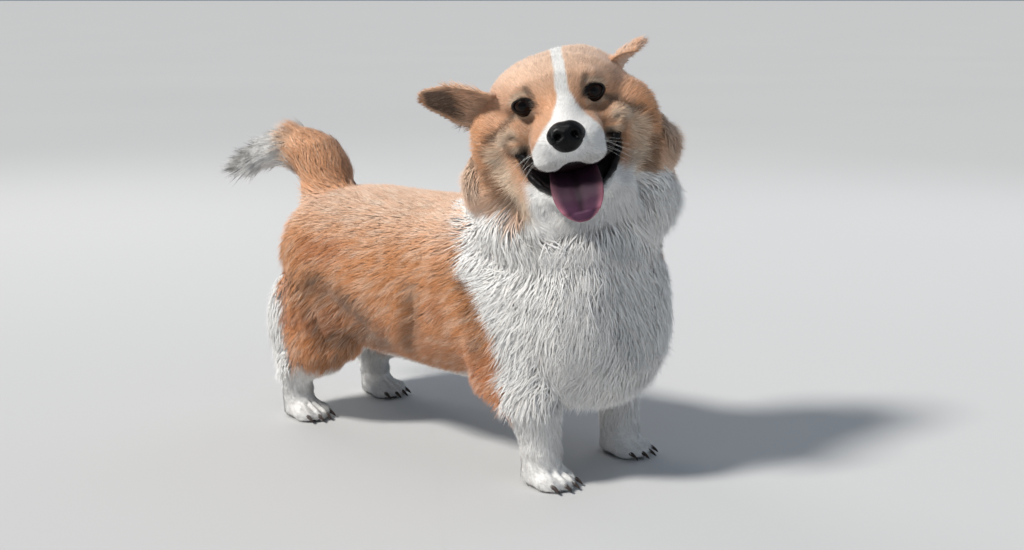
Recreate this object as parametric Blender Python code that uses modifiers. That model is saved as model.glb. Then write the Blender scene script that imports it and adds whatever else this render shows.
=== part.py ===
"""Still, life-size model of a standing Pembroke Welsh corgi with its head turned to its right.

Metres, +Z up. The dog faces -Y, its left side is +X, and it stands on the plane z = 0.
"""

import math
import random

import bmesh
import bpy
from mathutils import Euler, Matrix, Vector
from mathutils.bvhtree import BVHTree

# Driving sizes of the dog, coat included
BACK_HEIGHT = 0.290
BRISKET_HEIGHT = 0.083
CHEST_HALF_WIDTH = 0.108
FORE_FOOT_Y = -0.175
HIND_FOOT_Y = 0.205
FORE_STANCE = 0.070
HIND_STANCE = 0.066
WITHERS_Y = -0.105
TAIL_ROOT = Vector((0.0, 0.228, 0.250))

# The head's own frame: origin midway between the eyes, muzzle along -Y, crown along +Z
HEAD_PLACE = Vector((-0.045, -0.165, 0.407))
HEAD_TURN_DEG = -51.9
HEAD_RAISE_DEG = -3.8
HEAD_ROLL_DEG = -12.3
EYE_HALF_SPACING = 0.0358
EYE_RADIUS = 0.0112
EYE_DEPTH = -0.0085
NOSE_TIP = Vector((0.0, -0.090, -0.038))

# Long coat: how far the tips stand beyond the dense coat below them
RUFF_DEPTH = 0.019
BIB_DEPTH = 0.019
BREECH_DEPTH = 0.016
TAIL_DEPTH = 0.014
CORE_SHARE = 0.80
LOCK_SINK = 0.0065
LOCK_SEED = 11
TAIL_ROWS = 5
TAIL_ROUND = 4

# How the pieces part and how finely they are faceted
GAP = 0.0003
VOXEL = 0.0042
BODY_TRIANGLES = 1700
HEAD_TRIANGLES = 1450
FLAT_SOLE = 0.004

HEAD_FRAME = Matrix.Translation(HEAD_PLACE) @ Euler(
    (math.radians(HEAD_RAISE_DEG), math.radians(HEAD_ROLL_DEG), math.radians(HEAD_TURN_DEG)), "YXZ"
).to_matrix().to_4x4()

SIDES = {"left": 1, "right": -1}


def clear_scene():
    for obj in list(bpy.data.objects):
        bpy.data.objects.remove(obj)


def collection(name, hidden=False):
    made = bpy.data.collections.new(name)
    bpy.context.scene.collection.children.link(made)
    made.hide_render = hidden
    return made


def material(name, colour, roughness, metallic=0.0):
    made = bpy.data.materials.new(name)
    made.use_nodes = True
    shader = made.node_tree.nodes["Principled BSDF"]
    shader.inputs["Base Color"].default_value = (*colour, 1.0)
    shader.inputs["Roughness"].default_value = roughness
    shader.inputs["Metallic"].default_value = metallic
    return made


def object_from(bm, name, where):
    """A new object that holds this bmesh, with its faces pointing out."""
    bmesh.ops.recalc_face_normals(bm, faces=bm.faces)
    mesh = bpy.data.meshes.new(name)
    bm.to_mesh(mesh)
    bm.free()
    made = bpy.data.objects.new(name, mesh)
    where.objects.link(made)
    return made


def settle_modifiers(obj):
    """Replaces the object's mesh by what its modifiers make of it."""
    bpy.context.view_layer.update()
    graph = bpy.context.evaluated_depsgraph_get()
    mesh = bpy.data.meshes.new_from_object(obj.evaluated_get(graph))
    old = obj.data
    obj.modifiers.clear()
    obj.data = mesh
    bpy.data.meshes.remove(old)


def add_loft(bm, stations, frame=Matrix.Identity(4), sides=20):
    """A closed tube through (centre, half width, half height, squareness, tilt) stations.

    The rings stand across the path of the centres; the tilt, in degrees, leans a ring about its
    width axis away from that.
    """
    rings = []
    last = len(stations) - 1
    for index, (centre, wide, high, square, tilt) in enumerate(stations):
        before = Vector(stations[max(index - 1, 0)][0])
        after = Vector(stations[min(index + 1, last)][0])
        along = (after - before).normalized()
        across = along.cross(Vector((0, 0, 1)))
        if across.length < 0.2:
            across = Vector((1, 0, 0))
        across.normalize()
        if across.x < 0:
            across.negate()
        upright = Matrix.Rotation(math.radians(tilt), 3, across) @ across.cross(along).normalized()
        ring = []
        for step in range(sides):
            angle = 2 * math.pi * step / sides
            c, s = math.cos(angle), math.sin(angle)
            x = math.copysign(abs(c) ** (2 / square), c) * wide
            z = math.copysign(abs(s) ** (2 / square), s) * high
            ring.append(bm.verts.new(frame @ (Vector(centre) + across * x + upright * z)))
        rings.append(ring)
    for first, second in zip(rings, rings[1:]):
        for step in range(sides):
            following = (step + 1) % sides
            bm.faces.new((first[step], first[following], second[following], second[step]))
    bm.faces.new(rings[0])
    bm.faces.new(rings[-1])


def add_blob(bm, centre, radii, turn_deg=(0, 0, 0), frame=Matrix.Identity(4), detail=3):
    """An ellipsoid of flesh or coat."""
    turned = Euler([math.radians(angle) for angle in turn_deg]).to_matrix().to_4x4()
    place = frame @ Matrix.Translation(centre) @ turned @ Matrix.Diagonal((*radii, 1.0))
    bmesh.ops.create_icosphere(bm, subdivisions=detail, radius=1.0, matrix=place)


def mirrored(point, side):
    return Vector((point[0] * side, point[1], point[2]))


def add_trunk(bm):
    top, low = BACK_HEIGHT, BRISKET_HEIGHT
    middle, half = (top + low) / 2, (top - low) / 2
    wide = CHEST_HALF_WIDTH
    stations = [
        ((0, -0.246, middle + 0.000), wide * 0.42, half * 0.48, 2.2, 0),
        ((0, -0.234, middle - 0.002), wide * 0.68, half * 0.74, 2.2, 0),
        ((0, -0.208, middle - 0.002), wide * 0.90, half * 0.94, 2.3, 0),
        ((0, -0.155, middle + 0.000), wide * 1.00, half * 1.02, 2.3, 0),
        ((0, -0.090, middle + 0.004), wide * 1.01, half * 1.01, 2.3, 0),
        ((0, 0.000, middle + 0.002), wide * 0.98, half * 0.98, 2.4, 0),
        ((0, 0.080, middle + 0.003), wide * 0.95, half * 0.96, 2.4, 0),
        ((0, 0.150, middle + 0.008), wide * 0.92, half * 0.92, 2.4, 0),
        ((0, 0.205, middle + 0.012), wide * 0.85, half * 0.84, 2.3, 0),
        ((0, 0.240, middle + 0.016), wide * 0.70, half * 0.68, 2.2, 0),
        ((0, 0.258, middle + 0.018), wide * 0.42, half * 0.42, 2.2, 0),
    ]
    add_loft(bm, stations, sides=28)


def add_neck(bm):
    stations = [
        ((0.000, -0.110, 0.170), 0.088, 0.080, 2.1, 0),
        ((0.000, -0.135, 0.220), 0.100, 0.100, 2.1, 0),
        ((0.000, -0.145, 0.262), 0.104, 0.098, 2.1, 0),
        ((-0.002, -0.140, 0.305), 0.090, 0.082, 2.1, 0),
        ((-0.006, -0.136, 0.345), 0.076, 0.072, 2.1, 0),
        ((-0.008, -0.134, 0.385), 0.060, 0.060, 2.1, 0),
    ]
    add_loft(bm, stations, sides=24)
    add_blob(bm, (0.002, -0.150, 0.302), (0.118, 0.080, 0.080), (0, 0, HEAD_TURN_DEG))


def add_foreleg(bm, side):
    add_blob(bm, mirrored((0.066, -0.118, 0.165), side), (0.045, 0.060, 0.080), (-12, 0, 0))
    add_blob(bm, mirrored((0.070, -0.108, 0.112), side), (0.030, 0.034, 0.028), (0, 0, 0))
    stations = [
        (mirrored((0.072, -0.135, 0.160), side), 0.038, 0.044, 2.0, 0),
        (mirrored((0.074, -0.147, 0.115), side), 0.034, 0.040, 2.0, 0),
        (mirrored((0.073, -0.158, 0.080), side), 0.029, 0.031, 2.0, 0),
        (mirrored((FORE_STANCE, -0.164, 0.050), side), 0.024, 0.025, 2.0, 0),
        (mirrored((FORE_STANCE, -0.166, 0.026), side), 0.023, 0.024, 2.0, 0),
        (mirrored((FORE_STANCE, -0.168, 0.006), side), 0.022, 0.022, 2.0, 0),
    ]
    add_loft(bm, stations, sides=18)
    add_paw(bm, side, FORE_STANCE, FORE_FOOT_Y, 0.026)


def add_paw(bm, side, stance, foot_y, half_wide):
    """A foot pad with four toes in an arc, flat below."""
    add_blob(bm, mirrored((stance, foot_y + 0.006, 0.014), side), (half_wide * 0.92, 0.030, 0.017))
    for toe in range(4):
        spread = (toe - 1.5) / 1.5
        x = stance + spread * half_wide * 0.66
        y = foot_y - 0.016 + 0.007 * abs(spread) ** 2
        add_blob(bm, mirrored((x, y, 0.011), side), (0.0092, 0.0165, 0.0125), (0, 0, -8 * spread * side))


def add_hindleg(bm, side):
    add_blob(bm, mirrored((0.058, 0.165, 0.165), side), (0.047, 0.078, 0.092), (14, 0, 0))
    add_blob(bm, mirrored((0.066, 0.185, 0.118), side), (0.036, 0.062, 0.052), (0, 0, 0))
    stations = [
        (mirrored((0.066, 0.150, 0.130), side), 0.038, 0.044, 2.0, 0),
        (mirrored((0.068, 0.178, 0.100), side), 0.034, 0.042, 2.0, 0),
        (mirrored((0.068, 0.208, 0.078), side), 0.028, 0.032, 2.0, 0),
        (mirrored((HIND_STANCE, 0.222, 0.056), side), 0.022, 0.023, 2.0, 0),
        (mirrored((HIND_STANCE, 0.222, 0.034), side), 0.020, 0.020, 2.0, 0),
        (mirrored((HIND_STANCE, 0.218, 0.008), side), 0.021, 0.022, 2.0, 0),
    ]
    add_loft(bm, stations, sides=18)
    add_blob(bm, mirrored((0.058, 0.232, 0.130), side), (0.036, 0.036, 0.070), (10, 0, 0))
    add_paw(bm, side, HIND_STANCE, HIND_FOOT_Y, 0.024)


TAIL_PATH = (
    ((0.000, 0.205, 0.235), 0.040),
    ((0.000, 0.226, 0.268), 0.038),
    ((0.000, 0.236, 0.298), 0.037),
    ((-0.003, 0.247, 0.316), 0.034),
    ((-0.010, 0.266, 0.324), 0.029),
    ((-0.020, 0.289, 0.321), 0.023),
    ((-0.032, 0.313, 0.312), 0.015),
    ((-0.044, 0.337, 0.301), 0.006),
)


def add_tail(bm):
    add_loft(bm, [(place, size, size, 2.0, 0) for place, size in TAIL_PATH], sides=16)


def add_skull(bm):
    stations = [
        ((0, -0.022, -0.010), 0.022, 0.014, 2.0, 0),
        ((0, -0.012, -0.002), 0.045, 0.030, 2.1, 0),
        ((0, 0.004, 0.003), 0.063, 0.042, 2.2, 0),
        ((0, 0.028, 0.003), 0.074, 0.048, 2.2, 0),
        ((0, 0.060, 0.000), 0.075, 0.050, 2.2, 0),
        ((0, 0.088, -0.006), 0.064, 0.046, 2.1, 0),
        ((0, 0.108, -0.012), 0.038, 0.032, 2.0, 0),
    ]
    add_loft(bm, stations, HEAD_FRAME, 24)
    for side in SIDES.values():
        add_blob(bm, mirrored((0.030, -0.010, 0.0195), side), (0.016, 0.0085, 0.0075), (0, 0, 16 * side), HEAD_FRAME)
        add_blob(bm, mirrored((0.050, 0.006, -0.030), side), (0.022, 0.024, 0.021), (0, 0, 0), HEAD_FRAME)
        add_blob(bm, mirrored((0.066, 0.034, -0.034), side), (0.036, 0.040, 0.048), (0, -14 * side, 0), HEAD_FRAME)
        add_blob(bm, mirrored((0.068, 0.044, -0.068), side), (0.046, 0.040, 0.046), (0, -14 * side, 0), HEAD_FRAME)
    add_blob(bm, (0, 0.052, -0.085), (0.070, 0.046, 0.046), (0, 0, 0), HEAD_FRAME)


def add_muzzle(bm):
    stations = [
        ((0, -0.083, -0.0465), 0.0220, 0.0120, 2.3, 0),
        ((0, -0.076, -0.0450), 0.0300, 0.0175, 2.4, 0),
        ((0, -0.060, -0.0430), 0.0360, 0.0200, 2.5, 0),
        ((0, -0.040, -0.0395), 0.0375, 0.0210, 2.5, 0),
        ((0, -0.018, -0.0350), 0.0410, 0.0215, 2.4, 0),
        ((0, 0.004, -0.0330), 0.0470, 0.0230, 2.3, 0),
        ((0, 0.030, -0.0280), 0.0500, 0.0300, 2.1, 0),
    ]
    add_loft(bm, stations, HEAD_FRAME, 22)
    bridge = [
        ((0, -0.078, -0.037), 0.0150, 0.0100, 2.0, 0),
        ((0, -0.056, -0.029), 0.0180, 0.0120, 2.0, 0),
        ((0, -0.032, -0.020), 0.0200, 0.0150, 2.0, 0),
        ((0, -0.012, -0.008), 0.0230, 0.0200, 2.0, 0),
        ((0, 0.012, 0.004), 0.0300, 0.0300, 2.0, 0),
    ]
    add_loft(bm, bridge, HEAD_FRAME, 16)


JAW_STATIONS = (
    ((0, -0.0660, -0.1000), 0.0140, 0.0080, 2.2, 0),
    ((0, -0.0570, -0.0990), 0.0240, 0.0125, 2.3, 0),
    ((0, -0.0400, -0.0945), 0.0330, 0.0150, 2.3, 0),
    ((0, -0.0180, -0.0870), 0.0420, 0.0175, 2.2, 0),
    ((0, 0.0040, -0.0780), 0.0470, 0.0200, 2.1, 0),
    ((0, 0.0260, -0.0700), 0.0470, 0.0220, 2.0, 0),
)
# Lips, on one side, from the middle of the front to the corner of the mouth
UPPER_LIP = (
    (0.0000, -0.0810, -0.0590),
    (0.0180, -0.0770, -0.0635),
    (0.0310, -0.0610, -0.0620),
    (0.0370, -0.0400, -0.0590),
    (0.0430, -0.0210, -0.0545),
    (0.0500, -0.0100, -0.0480),
    (0.0540, -0.0020, -0.0420),
)
LOWER_LIP = (
    (0.0000, -0.0665, -0.0945),
    (0.0140, -0.0625, -0.0935),
    (0.0250, -0.0500, -0.0890),
    (0.0350, -0.0310, -0.0820),
    (0.0440, -0.0140, -0.0710),
    (0.0490, -0.0060, -0.0600),
    (0.0500, 0.0040, -0.0540),
)
LIP_RADIUS = 0.0032


def build_lips(path, name, where):
    """A rounded roll along a lip, from one corner of the mouth round to the other."""
    half = [Vector(point) for point in path]
    whole = [mirrored(point, -1) for point in reversed(half[1:])] + half
    bm = bmesh.new()
    rings = []
    for index, point in enumerate(whole):
        before, after = whole[max(index - 1, 0)], whole[min(index + 1, len(whole) - 1)]
        along = (after - before).normalized()
        up = (Vector((0, 0, 1)) - along * along.z).normalized()
        side = along.cross(up)
        thin = 0.55 if index in (0, len(whole) - 1) else 1.0
        ring = []
        for step in range(5):
            angle = math.tau * step / 5
            place = point + (up * math.cos(angle) + side * math.sin(angle)) * LIP_RADIUS * thin
            ring.append(bm.verts.new(HEAD_FRAME @ place))
        rings.append(ring)
    for first, second in zip(rings, rings[1:]):
        for step in range(5):
            following = (step + 1) % 5
            bm.faces.new((first[step], first[following], second[following], second[step]))
    bm.faces.new(rings[0])
    bm.faces.new(rings[-1])
    return object_from(bm, name, where)


def build_jaw(where, name="lower_jaw", grow=0.0):
    """The lower jaw, whose back end lies inside the head between the corners of the mouth."""
    stations = [(place, wide + grow, high + grow, square, tilt) for place, wide, high, square, tilt in JAW_STATIONS]
    if grow:
        end, before = Vector(stations[-1][0]), Vector(stations[-2][0])
        place = end + (end - before).normalized() * grow
        stations.append((tuple(place), *stations[-1][1:]))
    bm = bmesh.new()
    add_loft(bm, stations, HEAD_FRAME, 16)
    return object_from(bm, name, where)


def fused_dog(where):
    """The whole dog without ears, eyes, nose and tongue, as one smooth closed surface."""
    bm = bmesh.new()
    add_trunk(bm)
    add_neck(bm)
    add_tail(bm)
    for side in SIDES.values():
        add_foreleg(bm, side)
        add_hindleg(bm, side)
    add_skull(bm)
    add_muzzle(bm)
    dog = object_from(bm, "whole_dog", where)
    remesh = dog.modifiers.new("one_skin", "REMESH")
    remesh.mode = "VOXEL"
    remesh.voxel_size = VOXEL
    smooth = dog.modifiers.new("soften", "SMOOTH")
    smooth.factor = 0.5
    smooth.iterations = 5
    settle_modifiers(dog)
    return dog


def is_closed(mesh):
    bm = bmesh.new()
    bm.from_mesh(mesh)
    closed = len(bm.faces) > 0 and all(len(edge.link_faces) == 2 for edge in bm.edges)
    bm.free()
    return closed


def combine(obj, operation, other=None, group=None, solvers=("EXACT", "MANIFOLD")):
    """Joins or cuts an object, by the first of these solvers that leaves a closed surface."""
    before = obj.data.copy()
    for solver in solvers:
        cut = obj.modifiers.new("combine", "BOOLEAN")
        cut.operation = operation
        cut.solver = solver
        if group:
            cut.operand_type = "COLLECTION"
            cut.collection = group
        else:
            cut.object = other
        settle_modifiers(obj)
        if is_closed(obj.data):
            break
        obj.data = before.copy()
    bpy.data.meshes.remove(before)


def carve(obj, other, operation):
    combine(obj, operation, other)


def carve_coat(obj, other, operation):
    """As carve, for a piece with locks: the exact solver may leave edges of them touching."""
    combine(obj, operation, other, solvers=("MANIFOLD", "EXACT"))


def ramp(value, low, high):
    """0 at low, 1 at high, smooth between them; low may be the larger."""
    t = min(max((value - low) / (high - low), 0.0), 1.0)
    return t * t * (3 - 2 * t)


TO_HEAD = HEAD_FRAME.inverted()
HEAD_TURN = HEAD_FRAME.to_3x3()


def cheek_share(point):
    """How much a point belongs to the long hair of the cheeks, behind the mouth and below the eyes."""
    local = TO_HEAD @ point
    reach = 1 - ramp(local.length, 0.120, 0.140)
    return reach * ramp(abs(local.x), 0.050, 0.068) * ramp(local.y, 0.006, 0.030) * ramp(local.z, -0.004, -0.024)


def ruff_share(point):
    """The ruff runs all round the neck, from the cheeks to the chest."""
    local = TO_HEAD @ point
    if local.y < 0.016 and abs(local.x) < 0.060 and local.z > -0.128:
        return 0.0
    below_face = ramp(local.z, -0.075, -0.100)
    return below_face * ramp(point.z, 0.225, 0.245) * ramp(point.y, -0.050, -0.080)


def bib_share(point):
    front = ramp(point.y, -0.120, -0.165)
    return front * ramp(point.z, 0.090, 0.125) * (1 - ramp(point.z, 0.225, 0.245))


def breech_share(point):
    return ramp(point.y, 0.190, 0.222) * ramp(point.z, 0.056, 0.085) * (1 - ramp(point.z, 0.185, 0.225))


def tail_share(point):
    nearest, radius = min(((point - Vector(place)).length, size) for place, size in TAIL_PATH)
    thin = min(radius / TAIL_PATH[0][1], 1.0)
    return thin * (1 - ramp(nearest, 0.050, 0.060)) * ramp(point.z, 0.262, 0.285) * ramp(point.y, 0.180, 0.200)


def cheek_flow(point):
    local = TO_HEAD @ point
    side = math.copysign(1.0, local.x)
    outward = 0.35 - 0.7 * ramp(local.z, -0.030, -0.090)
    return HEAD_TURN @ Vector((side * outward, 0.30, -1.0))


def ruff_flow(point):
    away = Vector((point.x, point.y + 0.13, 0.0))
    return Vector((0.25 * away.x / 0.1, 0.20 + 0.25 * away.y / 0.1, -1.0))


def bib_flow(point):
    return Vector((0.30 * point.x / 0.1, 0.16, -1.0))


def breech_flow(point):
    return Vector((0.25 * point.x / 0.1, 0.38, -1.0))


# Each coat: (share, flow, depth, lock length, lock half width, spacing of the roots)
COATS = {
    "cheek": (cheek_share, cheek_flow, RUFF_DEPTH * 0.80, 0.056, 0.0160, 0.0330),
    "ruff": (ruff_share, ruff_flow, RUFF_DEPTH, 0.074, 0.0205, 0.0400),
    "bib": (bib_share, bib_flow, BIB_DEPTH, 0.074, 0.0205, 0.0400),
    "breech": (breech_share, breech_flow, BREECH_DEPTH, 0.060, 0.0185, 0.0410),
}


def coat_depth(point):
    depths = [share(point) * depth for share, _, depth, _, _, _ in COATS.values()]
    return CORE_SHARE * max(*depths, tail_share(point) * TAIL_DEPTH)


def sink_to_core(dog):
    """Takes the outer, loose part of the long coat off the skin, so that locks can carry it."""
    bm = bmesh.new()
    bm.from_mesh(dog.data)
    bm.normal_update()
    moves = [(vert, vert.co - vert.normal * coat_depth(vert.co)) for vert in bm.verts]
    for vert, place in moves:
        vert.co = place
    bmesh.ops.smooth_vert(bm, verts=bm.verts, factor=0.5, use_axis_x=True, use_axis_y=True, use_axis_z=True)
    bmesh.ops.smooth_vert(bm, verts=bm.verts, factor=0.5, use_axis_x=True, use_axis_y=True, use_axis_z=True)
    bm.to_mesh(dog.data)
    bm.free()


def root_places(dog, share, spacing, rng):
    """Root points on the skin where this coat grows, at least a spacing apart."""
    mesh = dog.data
    mesh.calc_loop_triangles()
    weighted = []
    for triangle in mesh.loop_triangles:
        corners = [mesh.vertices[index].co for index in triangle.vertices]
        if share(sum(corners, Vector()) / 3) > 0.35:
            weighted.append((triangle.area, corners))
    if not weighted:
        return []
    places = []
    areas = [area for area, _ in weighted]
    for corners in rng.choices([corners for _, corners in weighted], areas, k=4000):
        u, v = rng.random(), rng.random()
        if u + v > 1:
            u, v = 1 - u, 1 - v
        point = corners[0] + (corners[1] - corners[0]) * u + (corners[2] - corners[0]) * v
        if all((point - other).length > spacing for other in places):
            places.append(point)
    return places


def close_lock(walk, half_wide, depth, rng, where):
    """A flat lock of three sides along a walk, which gives (place, outward) at a share of its length."""
    bm = bmesh.new()
    rings = []
    stations = (
        (0.00, 0.62, -LOCK_SINK, 0.22 * depth),
        (0.36, 1.00, -0.0022, 0.74 * depth),
        (0.70, 0.66, 0.10 * depth, 0.98 * depth),
    )
    steps = [walk(share) for share, _, _, _ in stations] + [walk(1.0)]
    for index, (_, wide, low, high) in enumerate(stations):
        base, up = steps[index]
        across = (steps[index + 1][0] - base).cross(up).normalized()
        ring = [
            base + up * high,
            base + up * low + across * half_wide * wide,
            base + up * low - across * half_wide * wide,
        ]
        rings.append([bm.verts.new(place) for place in ring])
    base, up = steps[-1]
    tip = bm.verts.new(base + up * depth * rng.uniform(0.92, 1.14))
    for first, second in zip(rings, rings[1:]):
        for step in range(3):
            following = (step + 1) % 3
            bm.faces.new((first[step], first[following], second[following], second[step]))
    for step in range(3):
        bm.faces.new((rings[-1][step], rings[-1][(step + 1) % 3], tip))
    bm.faces.new(rings[0])
    bmesh.ops.triangulate(bm, faces=bm.faces)
    return object_from(bm, "lock", where)


def skin_walk(point, flow, length, skin, rng):
    """A way over the skin from a root, down the lie of the hair, with a slight bend."""
    _, normal, _, _ = skin.find_nearest(point)
    along = flow(point)
    along = (along - normal * along.dot(normal)).normalized()
    along = Matrix.Rotation(rng.uniform(-0.22, 0.22), 3, normal) @ along
    bend = rng.uniform(-0.5, 0.5)
    length *= rng.uniform(0.86, 1.14)
    path = []
    here = point - along * length * 0.10
    steps = 10
    for _ in range(steps + 1):
        base, up, _, _ = skin.find_nearest(here)
        path.append((base, up))
        along = (along - up * along.dot(up)).normalized()
        along = Matrix.Rotation(bend / steps, 3, up) @ along
        here = base + along * length / steps

    return lambda share: path[round(share * steps)]


def tail_place(run, angle):
    """A point on the tail's dense coat and its outward direction, this far along its path."""
    left = run
    for (start, first), (end, second) in zip(TAIL_PATH, TAIL_PATH[1:]):
        start, end = Vector(start), Vector(end)
        span = (end - start).length
        if left <= span or end == Vector(TAIL_PATH[-1][0]):
            break
        left -= span
    share = left / span
    along = (end - start).normalized()
    side = (Vector((1, 0, 0)) - along * along.x).normalized()
    outward = side * math.cos(angle) + along.cross(side) * math.sin(angle)
    radius = max(first + (second - first) * min(share, 1.0), 0.003)
    dense = radius - CORE_SHARE * TAIL_DEPTH * min(radius / TAIL_PATH[0][1], 1.0)
    return start + along * span * share + outward * dense, outward


def tail_walk(run, angle, length, rng):
    turn = rng.uniform(-0.3, 0.3)
    return lambda share: tail_place(run + share * length, angle + turn * share)


def grow_locks(dog, where):
    """Roots every lock in the dog's skin and fuses them all with it in one union."""
    rng = random.Random(LOCK_SEED)
    skin_mesh = bmesh.new()
    skin_mesh.from_mesh(dog.data)
    skin = BVHTree.FromBMesh(skin_mesh)
    locks = collection("locks", hidden=True)
    for share, flow, depth, length, half_wide, spacing in COATS.values():
        places = root_places(dog, share, spacing, rng)
        for point in places:
            near_size = 0.6 + 0.4 * share(point)
            walk = skin_walk(point, flow, length * near_size, skin, rng)
            close_lock(walk, half_wide * rng.uniform(0.9, 1.12), depth * near_size, rng, locks)
    for row in range(TAIL_ROWS):
        run = 0.048 + row * 0.030
        for step in range(TAIL_ROUND):
            angle = math.tau * (step + 0.5 * (row % 2)) / TAIL_ROUND + rng.uniform(-0.15, 0.15)
            slim = 1 - 0.50 * row / (TAIL_ROWS - 1)
            walk = tail_walk(run, angle, 0.056 * rng.uniform(0.9, 1.15), rng)
            close_lock(walk, 0.0215 * slim, TAIL_DEPTH * (0.6 + 0.4 * slim), rng, locks)
    skin_mesh.free()
    combine(dog, "UNION", group=locks, solvers=("MANIFOLD", "EXACT"))
    for lock in list(locks.objects):
        bpy.data.objects.remove(lock)
    bpy.data.collections.remove(locks)
    keep_largest(dog)


def thin_out(dog):
    """Fewer triangles, with more of them kept on the head."""
    to_head = HEAD_FRAME.inverted()
    group = dog.vertex_groups.new(name="head")
    head_count = 0
    for vertex in dog.data.vertices:
        local = to_head @ vertex.co
        near = local.length < 0.135
        group.add([vertex.index], 1.0 if near else 0.0, "REPLACE")
        head_count += near
    total = len(dog.data.vertices)
    body_faces = 2 * (total - head_count)
    head_faces = 2 * head_count
    for name, invert, faces, wanted in (
        ("body", True, body_faces, BODY_TRIANGLES),
        ("head", False, head_faces, HEAD_TRIANGLES),
    ):
        thin = dog.modifiers.new("thin_" + name, "DECIMATE")
        thin.vertex_group = "head"
        thin.invert_vertex_group = invert
        current = sum(len(face.vertices) - 2 for face in dog.data.polygons)
        thin.ratio = (current - faces + wanted) / current
        settle_modifiers(dog)


def box_frame(point, normal):
    """A frame at a point, whose Z is this normal and whose X stays as near to world X as it can."""
    up = Vector(normal).normalized()
    side = Vector((1, 0, 0))
    side = (side - up * side.dot(up)).normalized()
    front = up.cross(side)
    turn = Matrix((side, front, up)).transposed().to_4x4()
    return Matrix.Translation(Vector(point)) @ turn


def add_box(name, lowest, highest, where, frame=Matrix.Identity(4), grow=0.0):
    """A hidden box to cut with, grown by this much on every side."""
    low, high = Vector(lowest), Vector(highest)
    middle, size = (low + high) / 2, high - low
    grown = [side + 2 * grow for side in size]
    bm = bmesh.new()
    bmesh.ops.create_cube(bm, size=1.0, matrix=frame @ Matrix.Translation(middle) @ Matrix.Diagonal((*grown, 1.0)))
    made = object_from(bm, name, where)
    made.hide_render = True
    made.display_type = "WIRE"
    return made


def remove(obj):
    bpy.data.objects.remove(obj)


def copy_of(obj, name, where):
    made = bpy.data.objects.new(name, obj.data.copy())
    where.objects.link(made)
    return made


def keep_largest(obj):
    """Keeps only the largest closed surface of a piece."""
    bm = bmesh.new()
    bm.from_mesh(obj.data)
    bmesh.ops.triangulate(bm, faces=bm.faces)
    left = set(bm.verts)
    biggest = set()
    while left:
        stack = [left.pop()]
        island = set(stack)
        while stack:
            for edge in stack.pop().link_edges:
                for vert in edge.verts:
                    if vert not in island:
                        island.add(vert)
                        left.discard(vert)
                        stack.append(vert)
        if len(island) > len(biggest):
            biggest = island
    bmesh.ops.delete(bm, geom=[v for v in bm.verts if v not in biggest], context="VERTS")
    bm.to_mesh(obj.data)
    bm.free()


def part_off(source, name, where, region):
    """Takes what lies in a region out of source, as a node of its own with a thin gap between."""
    lowest, highest, frame = region
    inside = copy_of(source, name, where)
    exact = add_box(name + "_region", lowest, highest, where, frame)
    carve_coat(inside, exact, "INTERSECT")
    remove(exact)
    grown = add_box(name + "_clearance", lowest, highest, where, frame, GAP)
    carve_coat(source, grown, "DIFFERENCE")
    remove(grown)
    keep_largest(inside)
    keep_largest(source)
    return inside


def clear_from(obj, other_builder, where):
    """Cuts room for a neighbour, which is given as a function that builds it grown by the gap."""
    tool = other_builder(where)
    carve_coat(obj, tool, "DIFFERENCE")
    remove(tool)
    keep_largest(obj)


def level_soles(obj, where):
    """Cuts the small flats that the dog stands on."""
    below = add_box("ground", (-0.5, -0.5, -0.1), (0.5, 0.5, FLAT_SOLE), where)
    carve_coat(obj, below, "DIFFERENCE")
    remove(below)


def head_region():
    turn = HEAD_FRAME.to_3x3()
    frame = box_frame(HEAD_FRAME @ Vector((0, 0.030, -0.104)), turn @ Vector((0, -0.36, 0.93)))
    return ((-0.4, -0.4, 0.0), (0.4, 0.4, 0.5), frame)


def neck_region():
    frame = box_frame((0.0, -0.110, 0.285), (0.0, -0.34, 0.94))
    return ((-0.4, -0.4, 0.0), (0.4, 0.2, 0.5), frame)


def tail_region():
    frame = box_frame((0.0, 0.233, 0.290), (0.0, 0.30, 0.95))
    return ((-0.2, -0.043, 0.0), (0.2, 0.3, 0.3), frame)


def tail_tip_region():
    frame = box_frame((-0.010, 0.262, 0.322), (-0.20, 0.97, -0.05))
    return ((-0.2, -0.2, 0.0), (0.2, 0.2, 0.3), frame)


def leg_region(side, inner, front, back, top):
    near, far = sorted((inner * side, 0.2 * side))
    return ((near, front, -0.1), (far, back, top), Matrix.Identity(4))


def paw_region(side, top):
    near, far = sorted((0.0, 0.2 * side))
    return ((near, -0.4, -0.1), (far, 0.4, top), Matrix.Identity(4))


TONGUE_PATH = (
    ((0, 0.004, -0.0600), 0.0190, -10),
    ((0, -0.020, -0.0650), 0.0215, -10),
    ((0, -0.044, -0.0745), 0.0240, -16),
    ((0, -0.062, -0.0860), 0.0255, -34),
    ((0, -0.0735, -0.0970), 0.0262, -62),
    ((0, -0.0765, -0.1095), 0.0240, -84),
    ((0, -0.0766, -0.1190), 0.0150, -88),
)
TONGUE_HALF_THICK = 0.0029


def build_tongue(where, name="tongue", grow=0.0):
    bm = bmesh.new()
    stations = []
    for place, half_wide, lean in TONGUE_PATH:
        stations.append((place, half_wide + grow, TONGUE_HALF_THICK + grow, 2.6, 0))
    if grow:
        first, second = Vector(stations[0][0]), Vector(stations[1][0])
        stations[0] = (tuple(first + (first - second).normalized() * grow), *stations[0][1:])
        last, prior = Vector(stations[-1][0]), Vector(stations[-2][0])
        stations[-1] = (tuple(last + (last - prior).normalized() * grow), *stations[-1][1:])
    add_loft(bm, stations, HEAD_FRAME, 14)
    return object_from(bm, name, where)


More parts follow.
